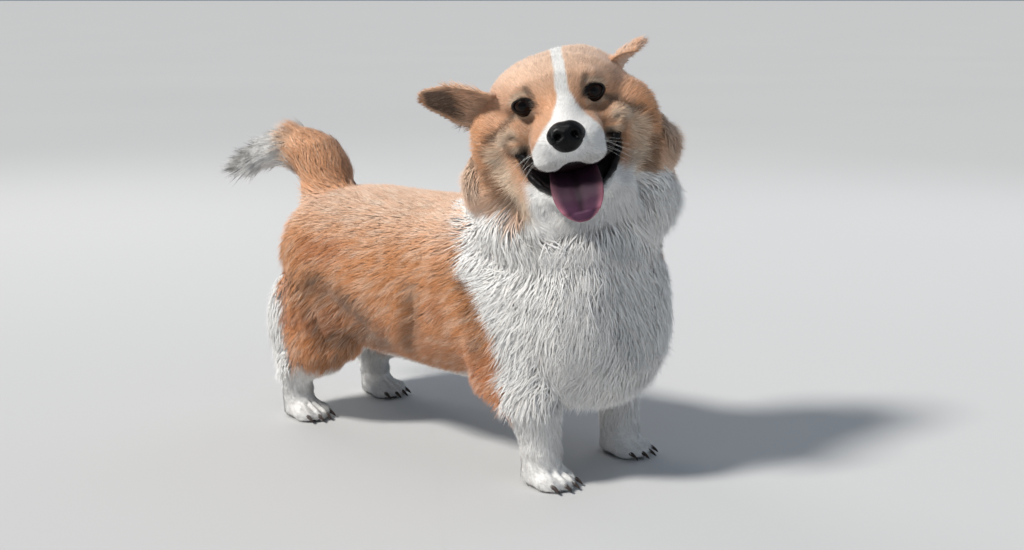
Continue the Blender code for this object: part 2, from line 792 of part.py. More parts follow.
def build_nose(where, name="nose", grow=0.0):
    """The nose pad, wider above than below, set into the end of the muzzle."""
    bm = bmesh.new()
    x, y, z = NOSE_TIP
    stations = [
        ((x, y + 0.0005, z - 0.001), 0.0080 + grow, 0.0075 + grow, 2.4, 0),
        ((x, y + 0.0030, z + 0.000), 0.0150 + grow, 0.0125 + grow, 2.4, 0),
        ((x, y + 0.0075, z + 0.001), 0.0190 + grow, 0.0155 + grow, 2.4, 0),
        ((x, y + 0.0130, z + 0.002), 0.0185 + grow, 0.0150 + grow, 2.4, 0),
        ((x, y + 0.0190, z + 0.002), 0.0150 + grow, 0.0120 + grow, 2.4, 0),
    ]
    if grow:
        stations.append(((x, y + 0.0190 + grow, z + 0.002), 0.0150, 0.0120, 2.4, 0))
    add_loft(bm, stations, HEAD_FRAME, 16)
    return object_from(bm, name, where)


def cut_nostrils(nose, where):
    for side in SIDES.values():
        bm = bmesh.new()
        place = NOSE_TIP + Vector((0.0085 * side, 0.0015, -0.001))
        add_blob(bm, place, (0.0036, 0.0065, 0.0030), (0, 20 * side, 24 * side), HEAD_FRAME, 2)
        hole = object_from(bm, "nostril", where)
        carve(nose, hole, "DIFFERENCE")
        remove(hole)
    keep_largest(nose)


def eye_place(side):
    return Vector((EYE_HALF_SPACING * side, EYE_DEPTH, 0.0))


def build_eye(side, where, name, grow=0.0):
    bm = bmesh.new()
    place = HEAD_FRAME @ Matrix.Translation(eye_place(side))
    bmesh.ops.create_uvsphere(bm, u_segments=14, v_segments=8, radius=EYE_RADIUS + grow, matrix=place)
    return object_from(bm, name, where)


def build_lids(side, where):
    """Upper and lower lids, as bands of a ball that stands a little proud of the eye."""
    bm = bmesh.new()
    outer = EYE_RADIUS + 0.0022
    turn = Matrix.Rotation(math.radians(8 * side), 4, "Z") @ Matrix.Rotation(math.radians(-6 * side), 4, "Y")
    place = HEAD_FRAME @ Matrix.Translation(eye_place(side)) @ turn
    bmesh.ops.create_uvsphere(bm, u_segments=14, v_segments=8, radius=outer, matrix=place)
    lids = object_from(bm, "lids", where)
    bm = bmesh.new()
    opening = place @ Matrix.Translation((0, -0.013, -0.0003)) @ Matrix.Diagonal((0.0100, 0.012, 0.0072, 1.0))
    bmesh.ops.create_uvsphere(bm, u_segments=12, v_segments=8, radius=1.0, matrix=opening)
    gap = object_from(bm, "lid_opening", where)
    carve(lids, gap, "DIFFERENCE")
    remove(gap)
    return lids


# Ear: base, tip and widths in the head's frame, the right one seen from in front
EARS = {
    "right": {
        "base": Vector((-0.078, 0.024, 0.006)),
        "tip": Vector((-0.146, 0.048, 0.030)),
        "cup": Vector((-0.10, -0.72, -0.69)),
        "width": 0.026,
        "sink": 0.016,
    },
    "left": {
        "base": Vector((0.064, 0.036, 0.022)),
        "tip": Vector((0.093, 0.100, 0.026)),
        "cup": Vector((0.60, -0.16, -0.78)),
        "width": 0.025,
        "sink": 0.016,
    },
}


EAR_STRAIGHT = 0.40


def build_ear(name, where):
    """A leaf that is cupped along its length, open on the side that the cup direction names."""
    shape = EARS[name]
    along = (shape["tip"] - shape["base"]).normalized()
    length = (shape["tip"] - shape["base"]).length + shape["sink"]
    start = shape["base"] - along * shape["sink"]
    cup = (shape["cup"] - along * shape["cup"].dot(along)).normalized()
    across = along.cross(cup)
    bm = bmesh.new()
    rows, columns = 7, 7
    sheets = []
    for depth in (0.0, 1.0):
        sheet = []
        for row in range(rows):
            t = 1 - (1 - row / (rows - 1)) ** 1.5
            broad = shape["width"] * (0.92 + 0.16 * math.sin(math.pi * min(t * 1.3, 1.0)))
            taper = max(t - EAR_STRAIGHT, 0.0) / (1 - EAR_STRAIGHT)
            broad = max(broad * max(1 - taper ** 2.4, 0.0) ** 0.55, 0.0035)
            thick = 0.0034 * (1 - 0.55 * t)
            line = []
            for column in range(columns):
                u = column / (columns - 1) * 2 - 1
                hollow = 0.014 * (1 - 0.75 * t) * (1 - u * u)
                point = start + along * (length * t) + across * (broad * u)
                point = point - cup * (hollow + thick * depth - 0.007 * (1 - t))
                line.append(bm.verts.new(HEAD_FRAME @ point))
            sheet.append(line)
        sheets.append(sheet)
    inner, outer = sheets
    for row in range(rows - 1):
        for column in range(columns - 1):
            for sheet in sheets:
                bm.faces.new((
                    sheet[row][column],
                    sheet[row][column + 1],
                    sheet[row + 1][column + 1],
                    sheet[row + 1][column],
                ))
    for row in range(rows - 1):
        for column in (0, columns - 1):
            bm.faces.new((inner[row][column], inner[row + 1][column], outer[row + 1][column], outer[row][column]))
    for column in range(columns - 1):
        for row in (0, rows - 1):
            bm.faces.new((inner[row][column], inner[row][column + 1], outer[row][column + 1], outer[row][column]))
    return object_from(bm, "ear_" + name, where)


def swollen(source, name, where, by):
    """A copy whose skin is pushed out by this much."""
    made = copy_of(source, name, where)
    push = made.modifiers.new("push", "DISPLACE")
    push.strength = by
    push.mid_level = 0.0
    settle_modifiers(made)
    return made


def add_claws(paw, side, stance, foot_y, half_wide, where):
    for toe in range(4):
        spread = (toe - 1.5) / 1.5
        x = stance + spread * half_wide * 0.70
        y = foot_y - 0.030 + 0.007 * abs(spread) ** 2
        bm = bmesh.new()
        frame = Matrix.Translation(mirrored((x, y, 0.0105), side)) @ Matrix.Rotation(math.radians(64), 4, "X")
        bmesh.ops.create_cone(
            bm, cap_ends=True, segments=6, radius1=0.0028, radius2=0.0008, depth=0.014, matrix=frame
        )
        claw = object_from(bm, "claw", where)
        carve(paw, claw, "UNION")
        remove(claw)
    keep_largest(paw)


def paint(obj, finish, smooth=True):
    obj.data.materials.clear()
    obj.data.materials.append(finish)
    for face in obj.data.polygons:
        face.use_smooth = smooth


def stand_on_origin(pieces, where):
    """Moves the dog so that it stands on z = 0, over the middle of its own box.

    Each piece then takes its own middle as its origin, and hangs from one empty.
    """
    corners = [vertex.co for piece in pieces for vertex in piece.data.vertices]
    low = Vector([min(corner[axis] for corner in corners) for axis in range(3)])
    high = Vector([max(corner[axis] for corner in corners) for axis in range(3)])
    shift = Vector((-(low.x + high.x) / 2, -(low.y + high.y) / 2, -low.z))
    carrier = bpy.data.objects.new("corgi", None)
    where.objects.link(carrier)
    for piece in pieces:
        points = [vertex.co for vertex in piece.data.vertices]
        middle = sum(points, Vector()) / len(points)
        piece.data.transform(Matrix.Translation(-middle))
        piece.location = middle + shift
        piece.parent = carrier
    return shift


def main():
    clear_scene()
    parts = collection("pembroke_welsh_corgi")
    helpers = collection("helpers", hidden=True)

    dog = fused_dog(helpers)
    sink_to_core(dog)
    thin_out(dog)

    for side in SIDES.values():
        lids = build_lids(side, helpers)
        carve(dog, lids, "UNION")
        remove(lids)
    lip = build_lips(UPPER_LIP, "upper_lip", helpers)
    carve(dog, lip, "UNION")
    remove(lip)
    keep_largest(dog)
    grow_locks(dog, helpers)
    level_soles(dog, helpers)

    ears = []
    head_room = swollen(dog, "head_room", helpers, GAP)
    for name in SIDES:
        ear = build_ear(name, parts)
        carve_coat(ear, head_room, "DIFFERENCE")
        keep_largest(ear)
        ears.append(ear)
    remove(head_room)

    head = part_off(dog, "head", parts, head_region())
    neck = part_off(dog, "neck", parts, neck_region())
    tail = part_off(dog, "tail_base", parts, tail_region())
    tail_tip = part_off(tail, "tail_tip", parts, tail_tip_region())

    legs = []
    for side_name, side in SIDES.items():
        leg = part_off(dog, "foreleg_" + side_name, parts, leg_region(side, 0.030, -0.30, -0.045, 0.118))
        paw = part_off(leg, "forepaw_" + side_name, parts, paw_region(side, 0.040))
        add_claws(paw, side, FORE_STANCE, FORE_FOOT_Y, 0.026, helpers)
        legs += [leg, paw]
        leg = part_off(dog, "hindleg_" + side_name, parts, leg_region(side, 0.022, 0.085, 0.35, 0.170))
        paw = part_off(leg, "hindpaw_" + side_name, parts, paw_region(side, 0.046))
        add_claws(paw, side, HIND_STANCE, HIND_FOOT_Y, 0.024, helpers)
        legs += [leg, paw]
    dog.name = "torso"
    parts.objects.link(dog)
    helpers.objects.unlink(dog)

    jaw = build_jaw(parts)
    lip = build_lips(LOWER_LIP, "lower_lip", helpers)
    carve(jaw, lip, "UNION")
    remove(lip)
    jaw_room = build_jaw(helpers, "jaw_room", GAP)
    lip_room = build_lips(LOWER_LIP, "lip_room", helpers)
    push = lip_room.modifiers.new("push", "DISPLACE")
    push.strength = GAP
    push.mid_level = 0.0
    settle_modifiers(lip_room)
    for piece in (head, neck):
        carve_coat(piece, jaw_room, "DIFFERENCE")
        carve_coat(piece, lip_room, "DIFFERENCE")
        keep_largest(piece)
    remove(jaw_room)
    remove(lip_room)

    nose = build_nose(parts)
    clear_from(head, lambda where: build_nose(where, "nose_room", GAP), helpers)
    cut_nostrils(nose, helpers)
    tongue = build_tongue(parts)
    for piece in (head, jaw, neck):
        clear_from(piece, lambda where: build_tongue(where, "tongue_room", GAP), helpers)
    eyes = []
    for side_name, side in SIDES.items():
        eyes.append(build_eye(side, parts, "eye_" + side_name))
        clear_from(head, lambda where: build_eye(side, where, "eye_room", GAP), helpers)

    coat = material("orange_coat", (0.55, 0.25, 0.08), 0.8)
    white = material("white_coat", (0.85, 0.82, 0.78), 0.8)
    dark = material("black_skin", (0.02, 0.018, 0.02), 0.35)
    pink = material("tongue", (0.55, 0.22, 0.26), 0.4)
    glass = material("brown_eye", (0.05, 0.02, 0.01), 0.08)
    for piece in (dog, head, neck, tail, *ears):
        paint(piece, coat)
    for piece in (jaw, tail_tip, *legs):
        paint(piece, white)
    paint(nose, dark)
    paint(tongue, pink)
    for eye in eyes:
        paint(eye, glass)

    pieces = [dog, head, neck, tail, tail_tip, jaw, nose, tongue, *eyes, *ears, *legs]
    for piece in pieces:
        for group in list(piece.vertex_groups):
            piece.vertex_groups.remove(group)
    bpy.data.collections.remove(helpers)
    stand_on_origin(pieces, parts)


main()
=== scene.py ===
"""Looks of a still, life-size model of a standing Pembroke Welsh corgi.

Every length is in metres. The dog faces -Y, its left side is +X and +Z is up. Shapes are worked out in the
dog's own frame, and moved by one shift into the frame of the solids.
"""

import logging
import math
from dataclasses import dataclass
from enum import Enum
from typing import Callable, Sequence

import bmesh
import bpy
import numpy as np
from mathutils import Euler, Matrix, Vector
from mathutils.bvhtree import BVHTree
from mathutils.kdtree import KDTree

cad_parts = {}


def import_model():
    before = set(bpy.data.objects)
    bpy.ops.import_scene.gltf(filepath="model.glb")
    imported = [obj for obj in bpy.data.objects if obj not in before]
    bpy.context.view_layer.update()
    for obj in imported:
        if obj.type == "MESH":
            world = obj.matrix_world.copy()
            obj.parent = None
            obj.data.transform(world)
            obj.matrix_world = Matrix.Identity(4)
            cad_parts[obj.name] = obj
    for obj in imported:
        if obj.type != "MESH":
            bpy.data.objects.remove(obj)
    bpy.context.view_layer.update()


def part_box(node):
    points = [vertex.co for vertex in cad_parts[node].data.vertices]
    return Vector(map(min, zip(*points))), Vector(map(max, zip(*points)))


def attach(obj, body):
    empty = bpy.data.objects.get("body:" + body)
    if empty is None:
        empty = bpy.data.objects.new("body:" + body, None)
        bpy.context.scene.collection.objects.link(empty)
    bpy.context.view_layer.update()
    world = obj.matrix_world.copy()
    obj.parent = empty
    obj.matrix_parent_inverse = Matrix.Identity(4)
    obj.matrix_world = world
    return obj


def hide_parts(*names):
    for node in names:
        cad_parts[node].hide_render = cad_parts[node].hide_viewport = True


log = logging.getLogger("corgi")

Array = np.ndarray
Field = Callable[[Array], Array]

IMAGE_WIDTH = 1024
FOCAL_PIXELS = 1400.0
SENSOR_WIDTH = 36.0

HEAD_PLACE = Vector((-0.045, -0.165, 0.407))
HEAD_TURN_DEG = -51.9
HEAD_RAISE_DEG = -3.8
HEAD_ROLL_DEG = -12.3
HEAD_FRAME = Matrix.Translation(HEAD_PLACE) @ Euler(
    (math.radians(HEAD_RAISE_DEG), math.radians(HEAD_ROLL_DEG), math.radians(HEAD_TURN_DEG)), "YXZ"
).to_matrix().to_4x4()
TO_HEAD = np.array(HEAD_FRAME.inverted())
HEAD_AXES = np.array(HEAD_FRAME.to_3x3())

EYE_HALF_SPACING = 0.0358
EYE_DEPTH = -0.0085
EYE_RADIUS = 0.0112
NOSE_TIP = Vector((0.0, -0.09, -0.038))
BACK_HEIGHT = 0.29
BRISKET_HEIGHT = 0.083
CHEST_HALF_WIDTH = 0.108
FORE_FOOT_Y = -0.175
HIND_FOOT_Y = 0.205
FORE_STANCE = 0.07
HIND_STANCE = 0.066
SOLE_HEIGHT = 0.004

FLOOR_GAP = 0.0002
# Painted shade given to a face crease for each metre of its depth.
CREASE_TO_PAINTED_SHADE = 210
# Painted shade: the skin under the coat wears the coat's colours darkened, as the shade between the tufts.
SKIN_PAINTED_SHADE = 0.88
# Painted shade: the ear's leaf is tinted darker than the short coat on it, as the shade between the tufts.
EAR_PAINTED_SHADE = 0.9
COAT_SEED = 100
EAR_SEED = 200
EAR_WISP_SEED = 210
WHISKER_SEED = 71
FORE_HALF_WIDE = 0.026
HIND_HALF_WIDE = 0.024

Triple = tuple[float, float, float]
Piece = bpy.types.Object
Finish = bpy.types.Material
Draft = bmesh.types.BMesh
Station = tuple[Triple, float, float, float]


class Side(Enum):
    """The two sides of the dog, with the sign of X on each."""

    LEFT = 1
    RIGHT = -1

    @property
    def word(self) -> str:
        """The side's name as it stands in node names."""
        return self.name.lower()


class Slot(Enum):
    """The record's material slots."""

    TORSO = "torso"
    HEAD = "head"
    NECK = "neck"
    TAIL_BASE = "tail_base"
    TAIL_TIP = "tail_tip"
    JAW = "lower_jaw"
    NOSE = "nose"
    TONGUE = "tongue"
    EYE = "eye"
    EAR = "ear"
    FORELEG = "foreleg"
    FOREPAW = "forepaw"
    HINDLEG = "hindleg"
    HINDPAW = "hindpaw"


def srgb(red: float, green: float, blue: float) -> Array:
    """A display colour, given as 0 to 255, in the linear values that materials use."""
    value = np.array((red, green, blue), float) / 255.0
    return np.where(value <= 0.04045, value / 12.92, ((value + 0.055) / 1.055) ** 2.4)


def ramp(value: Array, low: float, high: float) -> Array:
    """0 at low and 1 at high, smooth between them; low may be the larger."""
    t = np.clip((value - low) / (high - low), 0.0, 1.0)
    return t * t * (3 - 2 * t)


def unit(vectors: Array) -> Array:
    """The same directions, each of length 1."""
    return vectors / np.maximum(np.linalg.norm(vectors, axis=1, keepdims=True), 1e-9)


def mix(first: Array, second: Array, share: Array) -> Array:
    """Rows of first blended towards second by each row's share."""
    return first + (second - first) * np.clip(share, 0.0, 1.0)[:, None]


def to_head(points: Array) -> Array:
    """Points of the dog's frame in the head's own frame."""
    return points @ TO_HEAD[:3, :3].T + TO_HEAD[:3, 3]


def folded(points: Array) -> Array:
    """The same points with those of the right side mirrored to the left."""
    return np.stack((np.abs(points[:, 0]), points[:, 1], points[:, 2]), axis=1)


def lattice_noise(points: Array, cell: float, seed: int) -> Array:
    """Smooth noise from 0 to 1 with features about a cell across.

    Args:
        points: Places, one to a row.
        cell: Size of the noise's cells.
        seed: Another seed gives another pattern.

    Returns:
        One value for each place.
    """
    scaled = points / cell
    base = np.floor(scaled).astype(np.int64)
    part = scaled - base
    part = part * part * (3 - 2 * part)
    total = np.zeros(len(points))
    for corner in range(8):
        step = np.array(((corner >> 2) & 1, (corner >> 1) & 1, corner & 1))
        spot = base + step
        mixed = spot[:, 0] * 73856093 ^ spot[:, 1] * 19349663 ^ spot[:, 2] * 83492791 ^ (seed * 2654435)
        mixed = (mixed ^ (mixed >> 13)) * 1274126177
        value = ((mixed ^ (mixed >> 16)) & 0xFFFF) / 65535.0
        weight = np.prod(np.where(step == 1, part, 1 - part), axis=1)
        total += weight * value
    return total


def to_line(points: Array, line: Sequence[Sequence[float]]) -> Array:
    """Distance of each point from a line through the given points.

    Args:
        points: Places, one to a row.
        line: Corners of the line, in as many axes as the points.

    Returns:
        One distance for each point.
    """
    best = np.full(len(points), 1e9)
    for start, end in zip(line, line[1:]):
        start, step = np.array(start), np.array(end) - np.array(start)
        share = np.clip(((points - start) @ step) / (step @ step), 0, 1)
        best = np.minimum(best, np.linalg.norm(points - start - share[:, None] * step, axis=1))
    return best


def front_lines(head: Array, lines: Sequence[tuple], core: float, reach: float) -> Array:
    """How near each point of the head is to marks given as (line, radius, amount), seen from the front.

    Args:
        head: Points of the head's frame.
        lines: The marks, given for the left side, and mirrored to the right.
        core: Share of the radius up to which a mark has its whole amount.
        reach: Share of the radius at which it ends.

    Returns:
        The largest amount at each point.
    """
    flat = np.stack((np.abs(head[:, 0]), head[:, 2]), axis=1)
    total = np.zeros(len(head))
    for line, radius, amount in lines:
        away = to_line(flat, [(point[0], point[2]) for point in line])
        total = np.maximum(total, amount * (1 - ramp(away, radius * core, radius * reach)))
    front = 1 - ramp(head[:, 1], 0.06, 0.08)
    return total * front * (1 - ramp(np.linalg.norm(head, axis=1), 0.13, 0.15))


def smooth_path(points: Sequence[Sequence[float]], steps: int) -> list[Vector]:
    """A finer path through the given points, by Catmull-Rom interpolation.

    Args:
        points: The points that the path passes through.
        steps: New points for each stretch between two of them.

    Returns:
        The points of the finer path, the last given one included.
    """
    given = [Vector(point) for point in points]
    path = []
    for index in range(len(given) - 1):
        before = given[max(index - 1, 0)]
        start, end = given[index], given[index + 1]
        after = given[min(index + 2, len(given) - 1)]
        for step in range(steps):
            t = step / steps
            path.append(0.5 * (
                2 * start + (end - before) * t + (2 * before - 5 * start + 4 * end - after) * t * t
                + (3 * start - before - 3 * end + after) * t ** 3
            ))
    path.append(given[-1])
    return path


def object_of(bm: Draft, name: str, outward: bool = True) -> Piece:
    """A new object in the scene that holds this bmesh, which is freed.

    Args:
        bm: The shape.
        name: The object's name.
        outward: Whether its faces are turned outwards.

    Returns:
        The new object.
    """
    if outward:
        bmesh.ops.recalc_face_normals(bm, faces=bm.faces)
    mesh = bpy.data.meshes.new(name)
    bm.to_mesh(mesh)
    bm.free()
    mesh.shade_smooth()
    made = bpy.data.objects.new(name, mesh)
    bpy.context.scene.collection.objects.link(made)
    return made


def dressed(bm: Draft, name: str, finish: Finish) -> Piece:
    """A new object in the scene that holds this bmesh and wears this finish."""
    made = object_of(bm, name)
    made.data.materials.append(finish)
    return made


def next_ring(bm: Draft, edges: list[bmesh.types.BMEdge]) -> tuple[list, list]:
    """Extrudes a ring of edges, and gives the new ring's corners and edges."""
    made = bmesh.ops.extrude_edge_only(bm, edges=edges)["geom"]
    corners = [item for item in made if isinstance(item, bmesh.types.BMVert)]
    wanted = set(corners)
    drawn = [item for item in made if isinstance(item, bmesh.types.BMEdge)]
    return corners, [edge for edge in drawn if set(edge.verts) <= wanted]


def soften(bm: Draft, verts: Sequence[bmesh.types.BMVert], factor: float) -> None:
    """Draws each vertex towards the middle of its neighbours."""
    bmesh.ops.smooth_vert(bm, verts=verts, factor=factor, use_axis_x=True, use_axis_y=True, use_axis_z=True)


def settle(obj: Piece) -> None:
    """Puts what the object's modifiers make of it in its mesh, and drops them."""
    bpy.context.view_layer.update()
    graph = bpy.context.evaluated_depsgraph_get()
    mesh = bpy.data.meshes.new_from_object(obj.evaluated_get(graph))
    old = obj.data
    obj.modifiers.clear()
    obj.data = mesh
    bpy.data.meshes.remove(old)


def add_loft(
    bm: Draft, stations: Sequence[Station], frame: Matrix = Matrix.Identity(4), sides: int = 20
) -> None:
    """Draws a ring out through (centre, half width, half height, squareness) stations and closes its ends.

    Args:
        bm: Where the loft is added.
        stations: Rings stand across the path of the stations' centres.
        frame: Place of the stations.
        sides: Corners of a ring.
    """
    last = len(stations) - 1
    places = []
    for index, (centre, wide, high, _) in enumerate(stations):
        before, after = Vector(stations[max(index - 1, 0)][0]), Vector(stations[min(index + 1, last)][0])
        along = (after - before).normalized()
        across = along.cross(Vector((0, 0, 1)))
        if across.length < 0.2:
            across = Vector((1, 0, 0))
        across.normalize()
        if across.x < 0:
            across.negate()
        upright = across.cross(along).normalized()
        turn = Matrix((across * wide, upright * high, along)).transposed().to_4x4()
        places.append(Matrix.Translation(Vector(centre)) @ turn)
    ring = bmesh.ops.create_circle(bm, cap_ends=True, segments=sides, radius=1.0)["verts"]
    power = 2.0 / stations[0][3]
    for vert in ring:
        x, y, _ = vert.co
        vert.co = (math.copysign(abs(x) ** power, x), math.copysign(abs(y) ** power, y), 0)
    bmesh.ops.transform(bm, matrix=frame @ places[0], verts=ring)
    edges = list({edge for vert in ring for edge in vert.link_edges})
    for before, after in zip(places, places[1:]):
        ring, edges = next_ring(bm, edges)
        bmesh.ops.transform(bm, matrix=frame @ after @ before.inverted() @ frame.inverted(), verts=ring)
    bmesh.ops.contextual_create(bm, geom=edges)


def add_blob(
    bm: Draft,
    centre: Sequence[float],
    radii: Sequence[float],
    turn_deg: Sequence[float] = (0, 0, 0),
    frame: Matrix = Matrix.Identity(4),
) -> None:
    """An ellipsoid of flesh or coat at a centre, turned by three angles.

    Args:
        bm: Where it is added.
        centre: Its middle.
        radii: Its half sizes.
        turn_deg: Its turn about X, Y and Z.
        frame: Place of the whole.
    """
    turned = Euler([math.radians(angle) for angle in turn_deg]).to_matrix().to_4x4()
    place = frame @ Matrix.Translation(centre) @ turned @ Matrix.Diagonal((*radii, 1.0))
    bmesh.ops.create_icosphere(bm, subdivisions=3, radius=1.0, matrix=place)


def sided(point: Sequence[float], side: Side) -> Vector:
    """A point given for the left side, on the side that is asked for."""
    return Vector((point[0] * side.value, point[1], point[2]))


UPPER_LIP = (
    (0.0, -0.081, -0.059),
    (0.018, -0.077, -0.0635),
    (0.031, -0.061, -0.062),
    (0.037, -0.04, -0.059),
    (0.043, -0.021, -0.0545),
    (0.05, -0.01, -0.048),
    (0.054, -0.002, -0.042),
)
LOWER_LIP = (
    (0.0, -0.0665, -0.0945),
    (0.014, -0.0625, -0.0935),
    (0.025, -0.05, -0.089),
    (0.035, -0.031, -0.082),
    (0.044, -0.014, -0.071),
    (0.049, -0.006, -0.06),
    (0.05, 0.004, -0.054),
)
TAIL_PATH = (
    ((0.0, 0.205, 0.235), 0.04),
    ((0.0, 0.226, 0.268), 0.038),
    ((0.0, 0.236, 0.298), 0.037),
    ((-0.003, 0.247, 0.316), 0.034),
    ((-0.01, 0.266, 0.324), 0.029),
    ((-0.02, 0.289, 0.321), 0.023),
    ((-0.032, 0.313, 0.312), 0.015),
    ((-0.044, 0.337, 0.301), 0.006),
)


# Painted shade along the folds of flank, elbow and shoulder, as (line, radius, amount); the right side takes
# the left's by mirroring.
BODY_SHADES = (
    (
        ((0.102, 0.2, 0.184), (0.104, 0.175, 0.165), (0.103, 0.155, 0.144), (0.099, 0.139, 0.115)),
        0.013, 0.66,
    ),
    (
        ((0.102, 0.15, 0.176), (0.099, 0.124, 0.165), (0.098, 0.1, 0.156), (0.096, 0.08, 0.147)),
        0.023, 0.7,
    ),
    (((0.086, 0.13, 0.118), (0.086, 0.1, 0.12), (0.086, 0.06, 0.124)), 0.026, 0.66),
    (((0.106, -0.011, 0.192), (0.101, -0.009, 0.152), (0.091, 0.01, 0.125)), 0.014, 0.52),
    (((0.107, -0.096, 0.214), (0.108, -0.107, 0.18), (0.108, -0.112, 0.15)), 0.013, 0.62),
    (((0.08, 0.15, 0.086), (0.08, 0.128, 0.1)), 0.016, 0.5),
)
# Painted shade in the folds and hollows of the face, between eye and muzzle and beside the cheeks, as (line,
# radius, amount).
FACE_SHADES = (
    (((0.088, 0.04, -0.062), (0.082, 0.04, -0.08), (0.074, 0.036, -0.098)), 0.008, 0.7),
    (((0.036, -0.022, -0.014), (0.041, -0.02, -0.03), (0.044, -0.018, -0.044)), 0.008, 0.55),
    (((0.05, -0.006, -0.01), (0.064, -0.002, -0.017), (0.08, -0.002, -0.027)), 0.005, 0.75),
    (((0.062, 0.004, -0.036), (0.056, 0.0, -0.052)), 0.005, 0.5),
    (((0.08, 0.004, -0.027), (0.088, 0.004, -0.04)), 0.005, 0.4),
)
FACE_LIGHTS = (
    (((0.057, -0.011, -0.026), (0.068, -0.008, -0.03)), 0.009, 0.95),
    (((0.054, -0.013, -0.042), (0.045, -0.016, -0.043)), 0.005, 0.9),
    (((0.032, -0.016, 0.0115), (0.04, -0.012, 0.0105), (0.048, -0.012, 0.005)), 0.0035, 0.75),
    (((0.029, -0.018, -0.009), (0.038, -0.018, -0.0115), (0.046, -0.014, -0.0085)), 0.003, 0.7),
    (
        ((0.078, 0.02, -0.042), (0.072, 0.024, -0.062), (0.065, 0.024, -0.09), (0.051, 0.02, -0.113)),
        0.01, 0.95,
    ),
)
# Creases of the face, as (line, radius, depth): sunk into the skin, and painted darker as shade in the
# hollow.
FACE_CREASES = (
    (((0.047, -0.01, -0.0075), (0.064, -0.005, -0.0165), (0.079, -0.001, -0.03)), 0.004, -0.0044),
    (((0.054, -0.015, -0.03), (0.045, -0.019, -0.035)), 0.0034, -0.003),
    (((0.036, -0.024, -0.015), (0.04, -0.022, -0.033), (0.044, -0.018, -0.05)), 0.0042, -0.0034),
    (((0.024, -0.018, 0.0105), (0.036, -0.019, 0.014), (0.046, -0.013, 0.011)), 0.0018, -0.001),
    (((0.027, -0.02, -0.01), (0.037, -0.018, -0.0165), (0.047, -0.012, -0.012)), 0.0018, -0.0008),
)


